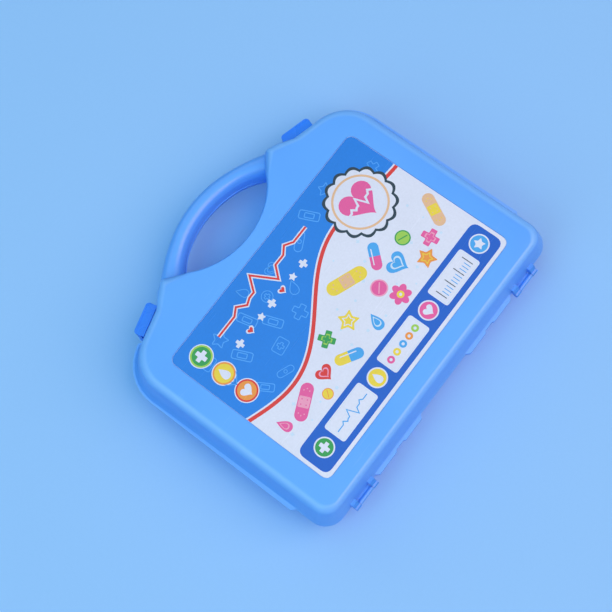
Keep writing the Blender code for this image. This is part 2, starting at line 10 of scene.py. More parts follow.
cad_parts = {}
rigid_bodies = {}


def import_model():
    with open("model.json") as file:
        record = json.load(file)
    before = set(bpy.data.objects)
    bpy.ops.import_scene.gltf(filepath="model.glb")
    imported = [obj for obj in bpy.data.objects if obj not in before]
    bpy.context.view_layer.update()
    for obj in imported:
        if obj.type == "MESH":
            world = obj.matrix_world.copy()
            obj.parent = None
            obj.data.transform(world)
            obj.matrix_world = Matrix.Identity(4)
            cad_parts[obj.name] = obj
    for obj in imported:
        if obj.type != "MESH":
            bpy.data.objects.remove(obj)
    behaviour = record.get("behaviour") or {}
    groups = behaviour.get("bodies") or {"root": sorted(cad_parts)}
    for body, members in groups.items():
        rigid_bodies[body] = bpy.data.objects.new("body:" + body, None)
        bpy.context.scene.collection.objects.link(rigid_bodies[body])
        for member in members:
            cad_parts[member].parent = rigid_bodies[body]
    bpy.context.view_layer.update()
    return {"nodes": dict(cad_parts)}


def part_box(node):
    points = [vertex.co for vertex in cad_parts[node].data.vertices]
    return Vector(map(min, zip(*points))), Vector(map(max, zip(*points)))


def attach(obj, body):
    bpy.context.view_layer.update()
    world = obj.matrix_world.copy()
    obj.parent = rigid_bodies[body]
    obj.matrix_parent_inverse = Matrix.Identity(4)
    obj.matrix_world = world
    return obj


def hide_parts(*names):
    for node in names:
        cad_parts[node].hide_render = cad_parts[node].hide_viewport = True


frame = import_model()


# Base shell: the lower half of the case, one injection moulding in sky blue polypropylene.
# Half of the handle, the hinge knuckles and the latch brackets are moulded with it. Its satin
# face has the faint flow marks of the mould, and fine scratches from handling.

SHELL_BLUE = (0.097, 0.345, 0.960)
SHELL_DEEP_BLUE = (0.083, 0.320, 0.945)
SCRATCH_WAYS = ((0.5, 0.035), (-0.9, 0.05))
SCRATCH_TILT = (0.3, 0.2)
SCRATCH_BLUE = (0.45, 0.68, 1.0, 1.0)
SCRATCH_PALENESS = 0.22
SCRATCH_ROUGHNESS = 0.15
SCRATCH_DEPTH = 0.5
# The pale blue of the edge band: partly wear, partly a painted highlight along the lid's edge round and the
# ledge lips.
WORN_HIGHLIGHT_BLUE = (0.190, 0.465, 1.0, 1.0)
WORN_ROUGHNESS = 0.2
WORN_HIGHLIGHT_LEAST = 0.5
WORN_HIGHLIGHT_FLOW = 0.6
# A deeper blue that paints shade onto the hinge lugs.
LUG_SHADE_BLUE = (0.030, 0.230, 0.820, 1.0)
LUG_SHADE_SHARE = 0.7
SMOOTH_LIMIT = math.radians(35.0)
FLAT_LIMIT = math.radians(0.2)
WALL_LEAN_LIMIT = 0.6
LEVEL_FACE = 0.99
FLARE_HEIGHT = 0.0040
FLARE_SHARE = 0.55
LIP_ROUND = 0.0005
LEDGE_REACHES = (0.0002, 0.004)
LINE_END_SLACK = 0.02
NEARLY_PARALLEL = 1e-9
# Each pair is a depth from the shell's flat face, and how pale the edge band is there: wear, and a painted
# highlight on the edge round.
EDGE_WEAR_AND_HIGHLIGHT = ((0.00027, 0.8), (0.00107, 0.9), (0.00234, 0.8), (0.00400, 0.3))
# How pale the rounded ledge lips are: a painted glint.
LIP_PAINTED_GLINT = 0.8
WEAR_AND_HIGHLIGHT_SLACK = 0.00006
HAND_HOLE_START_Y = 0.0565
HAND_HOLE_HALF_LENGTH = 0.0585
HAND_ARC = Vector((0.0, 0.0213, 0.0))
HAND_ARC_RADII = (0.0777, 0.0790)
HAND_LIP = 0.0007
BASE_LEDGE_Z = 0.02335
BASE_RIM_Z = 0.02535
HINGE_AXIS = Vector((0.0, -0.11215, 0.0255))
LUG_START_Y = -0.1098
# Each pair is a knuckle's middle along the hinge, and half its length.
KNUCKLES = ((0.0925, 0.0067),)
KNUCKLE_RADII = (0.0022, 0.0017)
# How much painted shade the base's knuckle gets.
KNUCKLE_SHADE = 0.15
LUG_SIDE_SLACK = 0.0002
LUG_ROUND_SLACK = 0.00012
MERGE_DISTANCE = 0.000002
LEVEL_SLACK = MERGE_DISTANCE * 10
CORNER_WEIGHT = 80


def place_node(tree, kind, inputs=(), **settings):
    """A node with its settings, and each input either linked or set."""
    made = tree.nodes.new(kind)
    for key, value in settings.items():
        setattr(made, key, value)
    for key, value in dict(inputs).items():
        if isinstance(value, bpy.types.NodeSocket):
            tree.links.new(value, made.inputs[key])
        else:
            made.inputs[key].default_value = value
    return made


def surface_group(name, inputs, outputs):
    """An empty shader group, with its named inputs and outputs."""
    tree = bpy.data.node_groups.new(name, "ShaderNodeTree")
    for label, kind, value in inputs:
        tree.interface.new_socket(label, in_out="INPUT", socket_type=kind).default_value = value
    for label, kind in outputs:
        tree.interface.new_socket(label, in_out="OUTPUT", socket_type=kind)
    return tree, tree.nodes.new("NodeGroupInput").outputs, tree.nodes.new("NodeGroupOutput").inputs


def noise(tree, where, scale, detail, **more):
    """The value of a noise pattern."""
    inputs = {"Vector": where, "Scale": scale, "Detail": detail, **more}
    return place_node(tree, "ShaderNodeTexNoise", inputs).outputs["Fac"]


def ranged(tree, value, low, high, to_low=0.0, to_high=1.0):
    """A value stretched from one range to another, and held inside it."""
    inputs = {"Value": value, "From Min": low, "From Max": high, "To Min": to_low, "To Max": to_high}
    return place_node(tree, "ShaderNodeMapRange", inputs).outputs["Result"]


def maths(tree, operation, *values):
    """The result of one operation on sockets and plain numbers."""
    return place_node(
        tree, "ShaderNodeMath", dict(enumerate(values)), operation=operation
    ).outputs[0]


def blended(tree, share, first, second):
    """Two colours mixed, with a share of the second."""
    inputs = {"Factor": share, 6: first, 7: second}
    return place_node(tree, "ShaderNodeMix", inputs, data_type="RGBA").outputs[2]


def hairline_scratches():
    """A mask of fine straight scratches in two directions, gathered in patches."""
    tree, given, out = surface_group(
        "hairline_scratches",
        [("Fineness", "NodeSocketFloat", 900.0), ("Amount", "NodeSocketFloat", 0.5)],
        [("Mask", "NodeSocketFloat")],
    )
    where = place_node(tree, "ShaderNodeTexCoord").outputs["Object"]
    lines = []
    for turn, stretch in SCRATCH_WAYS:
        turned = place_node(
            tree,
            "ShaderNodeMapping",
            {"Vector": where, "Rotation": (*SCRATCH_TILT, turn), "Scale": (stretch, 1.0, 1.0)},
        )
        streaks = noise(tree, turned.outputs["Vector"], given["Fineness"], detail=1.0)
        lines.append(ranged(tree, streaks, low=0.70, high=0.76))
    either = maths(tree, "MAXIMUM", *lines)
    patches = ranged(tree, noise(tree, where, scale=22.0, detail=2.0), low=0.45, high=0.65)
    masked = maths(tree, "MULTIPLY", either, patches)
    tree.links.new(maths(tree, "MULTIPLY", masked, given["Amount"]), out["Mask"])
    return tree


SCRATCHES = hairline_scratches()


def moulded_face():
    """Flow marks, grain and scratches of a satin moulding, with its pale edge band of wear and painted
    highlight and the painted shade on the hinge lugs, as colour, roughness and height.
    """
    tree, given, out = surface_group(
        "moulded_face",
        [
            ("Colour", "NodeSocketColor", (0.5, 0.5, 0.5, 1.0)),
            ("Deep Colour", "NodeSocketColor", (0.4, 0.4, 0.4, 1.0)),
            ("Roughness", "NodeSocketFloat", 0.3),
            ("Flow Scale", "NodeSocketFloat", 11.0),
            ("Grain Scale", "NodeSocketFloat", 1400.0),
            ("Scratches", "NodeSocketFloat", 0.6),
            ("Worn", "NodeSocketFloat", 0.0),
            ("Solid", "NodeSocketFloat", 0.0),
        ],
        [
            ("Colour", "NodeSocketColor"),
            ("Roughness", "NodeSocketFloat"),
            ("Height", "NodeSocketFloat"),
        ],
    )
    where = place_node(tree, "ShaderNodeTexCoord").outputs["Object"]
    flow = noise(tree, where, given["Flow Scale"], detail=3.0, Distortion=0.8)
    marks = ranged(tree, flow, low=0.42, high=0.70)
    toned = blended(tree, marks, given["Colour"], given["Deep Colour"])
    scratches = place_node(
        tree,
        "ShaderNodeGroup",
        {"Fineness": 900.0, "Amount": given["Scratches"]},
        node_tree=SCRATCHES,
    ).outputs["Mask"]
    faint = maths(tree, "MULTIPLY", scratches, SCRATCH_PALENESS)
    paled = blended(tree, faint, toned, SCRATCH_BLUE)
    # The pale edge band: wear, and a painted highlight along the edge round, made uneven by the flow marks.
    uneven = maths(tree, "MULTIPLY_ADD", flow, WORN_HIGHLIGHT_FLOW, WORN_HIGHLIGHT_LEAST)
    wear_and_highlight = maths(tree, "MULTIPLY", uneven, given["Worn"])
    worn_and_highlit = blended(tree, wear_and_highlight, paled, WORN_HIGHLIGHT_BLUE)
    # Painted shade on the hinge lugs: they are mixed towards a deeper blue.
    deep = maths(tree, "MULTIPLY", given["Solid"], LUG_SHADE_SHARE)
    tree.links.new(blended(tree, deep, worn_and_highlit, LUG_SHADE_BLUE), out["Colour"])
    haze = noise(tree, where, scale=60.0, detail=4.0)
    hazed = ranged(tree, haze, low=0.3, high=0.7, to_low=-0.035, to_high=0.045)
    rough = maths(tree, "ADD", given["Roughness"], hazed)
    rougher = maths(tree, "MULTIPLY_ADD", scratches, SCRATCH_ROUGHNESS, rough)
    dulled = maths(tree, "MULTIPLY_ADD", wear_and_highlight, WORN_ROUGHNESS, rougher)
    tree.links.new(dulled, out["Roughness"])
    grain = noise(tree, where, given["Grain Scale"], detail=2.0, Roughness=0.6)
    tree.links.new(maths(tree, "MULTIPLY_ADD", scratches, -SCRATCH_DEPTH, grain), out["Height"])
    return tree


MOULDED_FACE = moulded_face()


def moulded_plastic(name, colour, deep, roughness, flow, scratches):
    """Satin polypropylene, coloured right through."""
    made = bpy.data.materials.new(name)
    made.use_nodes = True
    tree = made.node_tree
    shader = tree.nodes["Principled BSDF"]
    shader.inputs["IOR"].default_value = 1.49
    shader.inputs["Specular IOR Level"].default_value = 0.75
    # Vertex marks from the moulded copy: the edge band of wear and painted highlight, and the hinge lugs'
    # painted shade.
    worn_and_highlit = place_node(tree, "ShaderNodeAttribute", attribute_name="edge_wear")
    lug_shade = place_node(tree, "ShaderNodeAttribute", attribute_name="solid_lug")
    face = place_node(
        tree,
        "ShaderNodeGroup",
        {
            "Colour": (*colour, 1.0),
            "Deep Colour": (*deep, 1.0),
            "Roughness": roughness,
            "Flow Scale": flow,
            "Scratches": scratches,
            "Worn": worn_and_highlit.outputs["Fac"],
            "Solid": lug_shade.outputs["Fac"],
        },
        node_tree=MOULDED_FACE,
    )
    bump = place_node(
        tree,
        "ShaderNodeBump",
        {"Height": face.outputs["Height"], "Strength": 0.15, "Distance": 0.00004},
    )
    tree.links.new(face.outputs["Colour"], shader.inputs["Base Color"])
    tree.links.new(face.outputs["Roughness"], shader.inputs["Roughness"])
    tree.links.new(bump.outputs["Normal"], shader.inputs["Normal"])
    return made


def soft_ledges(work, top, side):
    """Flares the wall out over each ledge, rounds the ledge's lip, and paints a glint along the rounded
    lip.
    """
    for level in (top, top + side * FLARE_HEIGHT):
        bmesh.ops.bisect_plane(
            work,
            geom=[*work.verts, *work.edges, *work.faces],
            dist=MERGE_DISTANCE,
            plane_co=(0.0, 0.0, level),
            plane_no=(0.0, 0.0, 1.0),
        )
    lips = [
        edge
        for edge in work.edges
        if all(abs(vert.co.z - top) < LEVEL_SLACK for vert in edge.verts)
        and len(edge.link_faces) == 2
        and edge.is_convex
        and edge.calc_face_angle(0.0) > SMOOTH_LIMIT
    ]
    lip_lines = [[vert.co.xy for vert in edge.verts] for edge in lips]
    flares = []
    for vert in work.verts:
        if abs(vert.co.z - top) > LEVEL_SLACK:
            continue
        walls = [
            face.normal
            for face in vert.link_faces
            if abs(face.normal.z) < WALL_LEAN_LIMIT
            and max(v.co.z * side for v in face.verts) > top * side + FLARE_HEIGHT / 2
        ]
        ledges = [face for face in vert.link_faces if face.normal.z * side > LEVEL_FACE]
        if walls and ledges:
            way = sum(walls, Vector()).xy.normalized()
            reach = reach_to(vert.co.xy, way, lip_lines)
            flares.append((vert, way.to_3d() * reach * FLARE_SHARE))
    for vert, step in flares:
        vert.co += step
    rounded = bmesh.ops.bevel(
        work, geom=lips, offset=LIP_ROUND, segments=3, profile=0.5, affect="EDGES", clamp_overlap=True
    )
    # The rounded lip takes the pale edge band, as a painted glint.
    wear_highlight_layer = work.verts.layers.float["edge_wear"]
    for vert in rounded["verts"]:
        vert[wear_highlight_layer] = LIP_PAINTED_GLINT


def reach_to(place, way, lines):
    """How far it is from a place to the nearest of some lines, along one way."""
    nearest = 0.0
    for a, b in lines:
        across = b - a
        turn = way.x * across.y - way.y * across.x
        if abs(turn) < NEARLY_PARALLEL:
            continue
        gap = a - place
        share = (gap.x * way.y - gap.y * way.x) / turn
        reach = (gap.x * across.y - gap.y * across.x) / turn
        on_line = -LINE_END_SLACK <= share <= 1.0 + LINE_END_SLACK
        if on_line and LEDGE_REACHES[0] < reach < LEDGE_REACHES[1]:
            nearest = min(nearest, reach) if nearest else reach
    return nearest


def hand_hole_lip(work, top):
    """Draws the shell's rim a little out into the hand hole, along the handle's inner side."""
    for vert in work.verts:
        spoke = vert.co - HAND_ARC
        spoke.z = 0.0
        on_rim = abs(vert.co.z - top) < LEVEL_SLACK and spoke.y > 0.0
        if on_rim and HAND_ARC_RADII[0] < spoke.length < HAND_ARC_RADII[1]:
            vert.co -= spoke.normalized() * HAND_LIP


def hinge_lugs(work, middles, radius, slimmed, amount):
    """Slims the round hinge lugs, and marks them for painted shade, which mixes them towards a deeper blue.
    """
    lug_shade = work.verts.layers.float["solid_lug"]
    for vert in work.verts:
        spoke = Vector((0.0, vert.co.y, vert.co.z)) - HINGE_AXIS
        from_side = min(abs(abs(vert.co.x) - middle) - half for middle, half in middles)
        if from_side < LUG_SIDE_SLACK and vert.co.y < LUG_START_Y:
            vert[lug_shade] = amount
            if abs(spoke.length - radius) < LUG_ROUND_SLACK:
                vert.co -= spoke * (1.0 - slimmed / radius)


def worn_and_highlit_edges(work, face_z, side):
    """Marks how pale the edge band round the shell's flat face is, for the material: wear, and on the lid a
    painted highlight on the edge round.
    """
    wear_highlight_layer = work.verts.layers.float["edge_wear"]
    for vert in work.verts:
        past_wall = vert.co.y > HAND_HOLE_START_Y
        in_hand_hole = past_wall and abs(vert.co.x) < HAND_HOLE_HALF_LENGTH
        for depth, amount in EDGE_WEAR_AND_HIGHLIGHT:
            if abs(vert.co.z - face_z + side * depth) < WEAR_AND_HIGHLIGHT_SLACK and not in_hand_hole:
                vert[wear_highlight_layer] = amount


def moulded_copy(node, name, body, surface, refine=None):
    """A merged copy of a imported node, smooth but for its sharp edges, that stands for it."""
    mesh = bpy.data.meshes.new(name)
    work = bmesh.new()
    work.from_mesh(frame["nodes"][node].data)
    bmesh.ops.remove_doubles(work, verts=work.verts, dist=MERGE_DISTANCE)
    bmesh.ops.dissolve_limit(
        work, angle_limit=FLAT_LIMIT, verts=work.verts, edges=work.edges, delimit=set()
    )
    work.verts.layers.float.new("edge_wear")
    work.verts.layers.float.new("solid_lug")
    if refine:
        refine(work)
    bmesh.ops.triangulate(work, faces=[face for face in work.faces if len(face.verts) > 4])
    for face in work.faces:
        face.smooth = True
    for edge in work.edges:
        edge.smooth = len(edge.link_faces) == 2 and edge.calc_face_angle(0.0) < SMOOTH_LIMIT
    work.to_mesh(mesh)
    work.free()
    mesh.materials.append(surface)
    draft = bpy.data.objects.new(f"{name}_draft", mesh)
    bpy.context.scene.collection.objects.link(draft)
    weighted = draft.modifiers.new("even_shading", "WEIGHTED_NORMAL")
    weighted.keep_sharp = True
    weighted.weight = CORNER_WEIGHT
    settled = draft.evaluated_get(bpy.context.evaluated_depsgraph_get())
    made = bpy.data.objects.new(name, bpy.data.meshes.new_from_object(settled))
    bpy.data.objects.remove(draft)
    bpy.context.scene.collection.objects.link(made)
    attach(made, body)
    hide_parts(node)
    return made


BASE_PLASTIC = moulded_plastic(
    "base_sky_blue", SHELL_BLUE, SHELL_DEEP_BLUE, roughness=0.33, flow=9.0, scratches=0.4
)


def base_details(work):
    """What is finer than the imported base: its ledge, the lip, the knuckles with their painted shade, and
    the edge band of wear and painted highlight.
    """
    soft_ledges(work, BASE_LEDGE_Z, -1)
    hand_hole_lip(work, BASE_RIM_Z)
    hinge_lugs(work, KNUCKLES, *KNUCKLE_RADII, KNUCKLE_SHADE)
    worn_and_highlit_edges(work, 0.0, -1)


moulded_copy("base_shell", "base_moulding", "base", BASE_PLASTIC, base_details)


# Hinge pins: two moulded rods in a deeper blue. Each is pressed into a pair of ears on the lid
# and turns in the knuckle of the base between them.

PIN_BLUE = (0.060, 0.270, 0.880)
PIN_DEEP_BLUE = (0.050, 0.245, 0.840)
PIN_PLASTIC = moulded_plastic(
    "pin_blue", PIN_BLUE, PIN_DEEP_BLUE, roughness=0.38, flow=40.0, scratches=0.3
)
for hand in ("left", "right"):
    moulded_copy(f"{hand}_hinge_pin", f"{hand}_pin", "lid", PIN_PLASTIC)


# Lid shell: the upper half, moulded in the same sky blue as the base. Its rim drops over the
# base's tongue, and its flat top has a shallow recess for the label.

LID_PLASTIC = moulded_plastic(
    "lid_sky_blue", SHELL_BLUE, SHELL_DEEP_BLUE, roughness=0.31, flow=7.0, scratches=0.35
)
LID_LEDGE_Z = 0.02765
LID_TOP_Z = 0.0510
# Each pair is an ear's middle along the hinge, and half its length.
EARS = ((0.1020, 0.0025), (0.0830, 0.0025))
EAR_RADII = (0.0027, 0.0021)
# How much painted shade the lid's ears get.
EAR_SHADE = 1.0


def lid_details(work):
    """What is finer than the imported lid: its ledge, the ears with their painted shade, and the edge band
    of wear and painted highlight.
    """
    soft_ledges(work, LID_LEDGE_Z, 1)
    hinge_lugs(work, EARS, *EAR_RADII, EAR_SHADE)
    worn_and_highlit_edges(work, LID_TOP_Z, 1)


moulded_copy("lid_shell", "lid_moulding", "lid", LID_PLASTIC, lid_details)


# Latches: two swing clips in a deeper, more glossy blue. Each turns on studs in the base's
# brackets, and its tongue snaps over the catch on the lid.

LATCH_BLUE = (0.006, 0.200, 0.930)
LATCH_DEEP_BLUE = (0.005, 0.180, 0.890)
LATCH_PLASTIC = moulded_plastic(
    "latch_blue", LATCH_BLUE, LATCH_DEEP_BLUE, roughness=0.27, flow=60.0, scratches=0.5
)
SHOULDER_SLOPE = Vector((0.267238, 0.963630, 0.0))
CLIP_CORNER_ROUND = 0.0026
CLIP_CORNER_CUTS = 6
CLIP_EDGE_ROUND = 0.00035
CLIP_TOP_REACHES = (0.10170, 0.10830)
CLIP_TOP_LEVELS = (0.0330, 0.0343)
CLIP_TOP_INSET = 0.0002
CLIP_DEPTHS = (0.1035, 0.1094)
CLIP_FOOT_Z = 0.0165
CLIP_FOOT_REACH = 0.1086


def rounded_clip(work):
    """Closes a latch's top over its tongue, and rounds its ends and all its edges.

    The foot keeps its inner face, because it swings close under the base's brackets.
    """
    middle = sum((vert.co for vert in work.verts), Vector()) / len(work.verts)
    outward = Vector((math.copysign(SHOULDER_SLOPE.x, middle.x), SHOULDER_SLOPE.y, 0.0)).normalized()
    along = Vector((-outward.y, outward.x, 0.0))
    ends = [vert.co.dot(along) for vert in work.verts]
    low, high = min(ends), max(ends)
    near, far = CLIP_TOP_REACHES
    left, right = low + CLIP_TOP_INSET, high - CLIP_TOP_INSET
    corners = []
    for z in CLIP_TOP_LEVELS:
        for reach, end in ((near, left), (far, left), (far, right), (near, right)):
            corners.append(work.verts.new(outward * reach + along * end + Vector((0.0, 0.0, z))))
    plate = [(0, 1, 2, 3), (4, 7, 6, 5), (0, 4, 5, 1), (1, 5, 6, 2), (2, 6, 7, 3), (3, 7, 4, 0)]
    made = [work.faces.new([corners[k] for k in face]) for face in plate]
    bmesh.ops.recalc_face_normals(work, faces=made)
    for end, way in ((low, 1), (high, -1)):
        for k in range(1, CLIP_CORNER_CUTS + 1):
            depth = CLIP_CORNER_ROUND * (1 - math.cos(math.pi / 2 * k / CLIP_CORNER_CUTS))
            bmesh.ops.bisect_plane(
                work,
                geom=[*work.verts, *work.edges, *work.faces],
                dist=MERGE_DISTANCE,
                plane_co=along * (end + way * depth),
                plane_no=along,
            )
    for vert in work.verts:
        from_end = min(vert.co.dot(along) - low, high - vert.co.dot(along))
        if from_end < CLIP_CORNER_ROUND:
            rest = CLIP_CORNER_ROUND - from_end
            drop = CLIP_CORNER_ROUND - math.sqrt(max(CLIP_CORNER_ROUND**2 - rest**2, 0.0))
            share = (vert.co.dot(outward) - CLIP_DEPTHS[0]) / (CLIP_DEPTHS[1] - CLIP_DEPTHS[0])
            shift = drop * min(max(share, 0.0), 1.0)
            if vert.co.z < CLIP_FOOT_Z:
                shift = min(shift, max(vert.co.dot(outward) - CLIP_FOOT_REACH, 0.0))
            vert.co -= outward * shift
    edges = [
        edge
        for edge in work.edges
        if len(edge.link_faces) == 2 and edge.is_convex and edge.calc_face_angle(0.0) > SMOOTH_LIMIT
    ]
    bmesh.ops.bevel(
        work,
        geom=edges,
        offset=CLIP_EDGE_ROUND,
        segments=2,
        profile=0.5,
        affect="EDGES",
        clamp_overlap=True,
    )


for hand in ("left", "right"):
    moulded_copy(
        f"{hand}_latch", f"{hand}_clip", f"{hand}_latch", LATCH_PLASTIC, rounded_clip
    )


# Label sheet: a white vinyl sticker pressed into the lid's recess, printed and laminated. The
# print is built up in thin ink layers, which together reach the sticker's full thickness.

LABEL_LOW, LABEL_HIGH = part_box("lid_label")
LABEL_CENTRE = (LABEL_LOW + LABEL_HIGH) / 2
LABEL_HALF_LENGTH = (LABEL_HIGH.x - LABEL_LOW.x) / 2
LABEL_HALF_WIDTH = (LABEL_HIGH.y - LABEL_LOW.y) / 2
LABEL_CORNER = 0.0058
INK_LAYER = 0.00002
INK_LAYERS = 5
PAPER_TOP = LABEL_HIGH.z - INK_LAYERS * INK_LAYER
FILM_SCRATCH_ROUGHNESS = 0.18
MOTTLE_BLUE = (0.0, 0.02, 0.08, 1.0)
INK_COLOURS = {
    "white": (0.705, 0.700, 0.890),
    "blue": (0.008, 0.182, 0.745),
    "pale_blue": (0.075, 0.330, 0.900),
    "navy": (0.004, 0.085, 0.560),
    "red": (0.690, 0.014, 0.010),
    "pink": (0.780, 0.080, 0.330),
    "rose": (0.840, 0.300, 0.500),
    "yellow": (0.820, 0.600, 0.030),
    "orange": (0.820, 0.270, 0.030),
    "green": (0.030, 0.300, 0.060),
    "lime": (0.330, 0.560, 0.060),
    "sky": (0.060, 0.340, 0.820),
    "mist": (0.560, 0.680, 0.900),
    "sand": (0.760, 0.440, 0.270),
    "ink": (0.016, 0.020, 0.045),
}


def laminated_print():
    """Fine ink mottle, and the slight waviness and scratches of the film over it."""
    tree, given, out = surface_group(
        "laminated_print",
        [
            ("Ink", "NodeSocketColor", (0.5, 0.5, 0.5, 1.0)),
            ("Mottle", "NodeSocketFloat", 0.10),
            ("Roughness", "NodeSocketFloat", 0.25),
        ],
        [
            ("Colour", "NodeSocketColor"),
            ("Roughness", "NodeSocketFloat"),
            ("Height", "NodeSocketFloat"),
        ],
    )
    where = place_node(tree, "ShaderNodeTexCoord").outputs["Object"]
    fine = noise(tree, where, scale=700.0, detail=2.0)
    broad = noise(tree, where, scale=18.0, detail=3.0)
    light = ranged(tree, maths(tree, "ADD", fine, broad), low=0.6, high=1.4, to_low=1.0, to_high=0.0)
    amount = maths(tree, "MULTIPLY", light, given["Mottle"])
    tree.links.new(blended(tree, amount, given["Ink"], MOTTLE_BLUE), out["Colour"])
    scratches = place_node(
        tree, "ShaderNodeGroup", {"Fineness": 700.0, "Amount": 0.7}, node_tree=SCRATCHES
    ).outputs["Mask"]
    rough = maths(tree, "MULTIPLY_ADD", scratches, FILM_SCRATCH_ROUGHNESS, given["Roughness"])
    tree.links.new(rough, out["Roughness"])
    tree.links.new(noise(tree, where, scale=55.0, detail=1.0), out["Height"])
    return tree


LAMINATED_PRINT = laminated_print()


def printed_ink(name, colour):
    """An ink under the clear film, which gives the gloss."""
    made = bpy.data.materials.new(f"ink_{name}")
    made.use_nodes = True
    tree = made.node_tree
    shader = tree.nodes["Principled BSDF"]
    shader.inputs["IOR"].default_value = 1.47
    shader.inputs["Coat Weight"].default_value = 0.35
    shader.inputs["Coat Roughness"].default_value = 0.12
    film = place_node(
        tree, "ShaderNodeGroup", {"Ink": (*colour, 1.0), "Roughness": 0.26}, node_tree=LAMINATED_PRINT
    )
    bump = place_node(
        tree,
        "ShaderNodeBump",
        {"Height": film.outputs["Height"], "Strength": 0.25, "Distance": 0.0006},
    )
    tree.links.new(film.outputs["Colour"], shader.inputs["Base Color"])
    tree.links.new(film.outputs["Roughness"], shader.inputs["Roughness"])
    tree.links.new(bump.outputs["Normal"], shader.inputs["Normal"])
    return made


INKS = {name: printed_ink(name, colour) for name, colour in INK_COLOURS.items()}


def softened(corners, reach, steps=5):
    """A closed outline with every corner rounded, its round starting one reach away."""
    points = []
    count = len(corners)
    for i, corner in enumerate(corners):
        before, here, after = Vector(corners[i - 1]), Vector(corner), Vector(corners[(i + 1) % count])
        start = here + (before - here).normalized() * reach
        end = here + (after - here).normalized() * reach
        for k in range(steps + 1):
            t = k / steps
            points.append(start * (1 - t) ** 2 + here * 2 * t * (1 - t) + end * t**2)
    return points


def box_shape(length, width, corner):
    """A rectangle with rounded corners."""
    half_x, half_y = length / 2, width / 2
    return softened([(-half_x, -half_y), (half_x, -half_y), (half_x, half_y), (-half_x, half_y)], corner)


def lobed_shape(radius, lobes=0, depth=0.0, steps=60):
    """A disc, or with lobes a flower or a scalloped badge."""
    turns = [2 * math.pi * k / steps for k in range(steps)]
    reach = [radius * (1 - depth + depth * abs(math.cos(lobes * a / 2))) for a in turns]
    return [Vector((r * math.cos(a), r * math.sin(a))) for r, a in zip(reach, turns)]


def pill_shape(length, width, steps=12):
    """A bar with half-round ends."""
    half, radius = (length - width) / 2, width / 2
    turns = [math.pi * k / steps - math.pi / 2 for k in range(steps + 1)]
    right = [Vector((half + radius * math.cos(a), radius * math.sin(a))) for a in turns]
    return right + [-point for point in right]


def plus_shape(size, arm_share=0.36):
    """A plus with soft corners."""
    out, arm = size / 2, size * arm_share / 2
    quarter = [(arm, arm), (arm, out), (-arm, out)]
    corners = []
    for turn in range(4):
        spin = Matrix.Rotation(turn * math.pi / 2, 2)
        corners += [spin @ Vector(point) for point in quarter]
    return softened(corners, arm / 3)


def heart_shape(size, steps=44):
    """The heart curve, as wide as its size."""
    points = []
    for k in range(steps):
        a = 2 * math.pi * k / steps
        x = 16 * math.sin(a) ** 3
        y = 13 * math.cos(a) - 5 * math.cos(2 * a) - 2 * math.cos(3 * a) - math.cos(4 * a)
        points.append(Vector((x, y)) * size / 32)
    return points[::-1]


def star_shape(size, waist_share=0.52):
    """A five-pointed star with soft points."""
    corners = []
    for k in range(10):
        a = math.pi / 2 + math.pi * k / 5
        reach = size / 2 * (waist_share if k % 2 else 1.0)
        corners.append((reach * math.cos(a), reach * math.sin(a)))
    return softened(corners, size / 16, 3)


def drop_shape(size, steps=40):
    """A round drop with its tip up."""
    turns = [2 * math.pi * k / steps for k in range(steps)]
    return [
        Vector((-size * 0.42 * math.sin(a) * abs(math.sin(a / 2)) ** 1.4, size / 2 * math.cos(a)))
        for a in turns
    ]


def moved(outline, at, turn=0.0, size=1.0):
    """An outline scaled, turned and put at a place on the label, from the label's middle."""
    spin = Matrix.Rotation(turn, 2)
    return [spin @ (Vector(point) * size) + Vector(at) for point in outline]


def beside(path, distance, closed=False):
    """A path moved sideways, mitred at its corners."""
    points = [Vector(point) for point in path]
    count = len(points)
    line = []
    for i, here in enumerate(points):
        ways = []
        if closed or i > 0:
            ways.append((here - points[i - 1]).normalized())
        if closed or i < count - 1:
            ways.append((points[(i + 1) % count] - here).normalized())
        normals = [Vector((-way.y, way.x)) for way in ways]
        mean = (normals[0] + normals[-1]).normalized()
        line.append(here + mean * distance / max(mean.dot(normals[0]), 0.5))
    return line


def stroke(path, width):
    """An open line of even width, as a closed outline."""
    return beside(path, width / 2) + beside(path, -width / 2)[::-1]


def ring_stroke(path, width):
    """A closed line of even width, as an outer and an inner outline."""
    sides = beside(path, width / 2, True), beside(path, -width / 2, True)
    spans = [max((point - side[0]).length for point in side) for side in sides]
    return sides if spans[0] > spans[1] else sides[::-1]


def print_patch(work, outline, hole, low, high, slot):
    """One flat patch of ink, with an even hole where it is a ring."""
    area = sum(a.x * b.y - b.x * a.y for a, b in zip(outline, outline[1:] + outline[:1]))
    lines = [list(outline), list(hole)] if hole else [list(outline)]
    if area < 0:
        lines = [line[::-1] for line in lines]
    rings = []
    for line in lines:
        for z in (low, high):
            rings.append([work.verts.new((LABEL_CENTRE.x + p.x, LABEL_CENTRE.y + p.y, z)) for p in line])
    walls = [(rings[0], rings[1])]
    if hole:
        walls += [(rings[1], rings[3]), (rings[3], rings[2]), (rings[2], rings[0])]
    faces = []
    for start, end in walls:
        count = len(start)
        for i in range(count):
            j = (i + 1) % count
            faces.append(work.faces.new((start[i], start[j], end[j], end[i])))
    if not hole:
        faces.append(work.faces.new(rings[0][::-1]))
        faces.append(work.faces.new(rings[1]))
    for face in faces:
        face.material_index = slot


def inked_piece(name, work, inks):
    """A piece of the label from finished patches, with its inks in slot order."""
    mesh = bpy.data.meshes.new(name)
    work.to_mesh(mesh)
    work.free()
    for ink in inks:
        mesh.materials.append(INKS[ink])
    made = bpy.data.objects.new(name, mesh)
    bpy.context.scene.collection.objects.link(made)
    return made


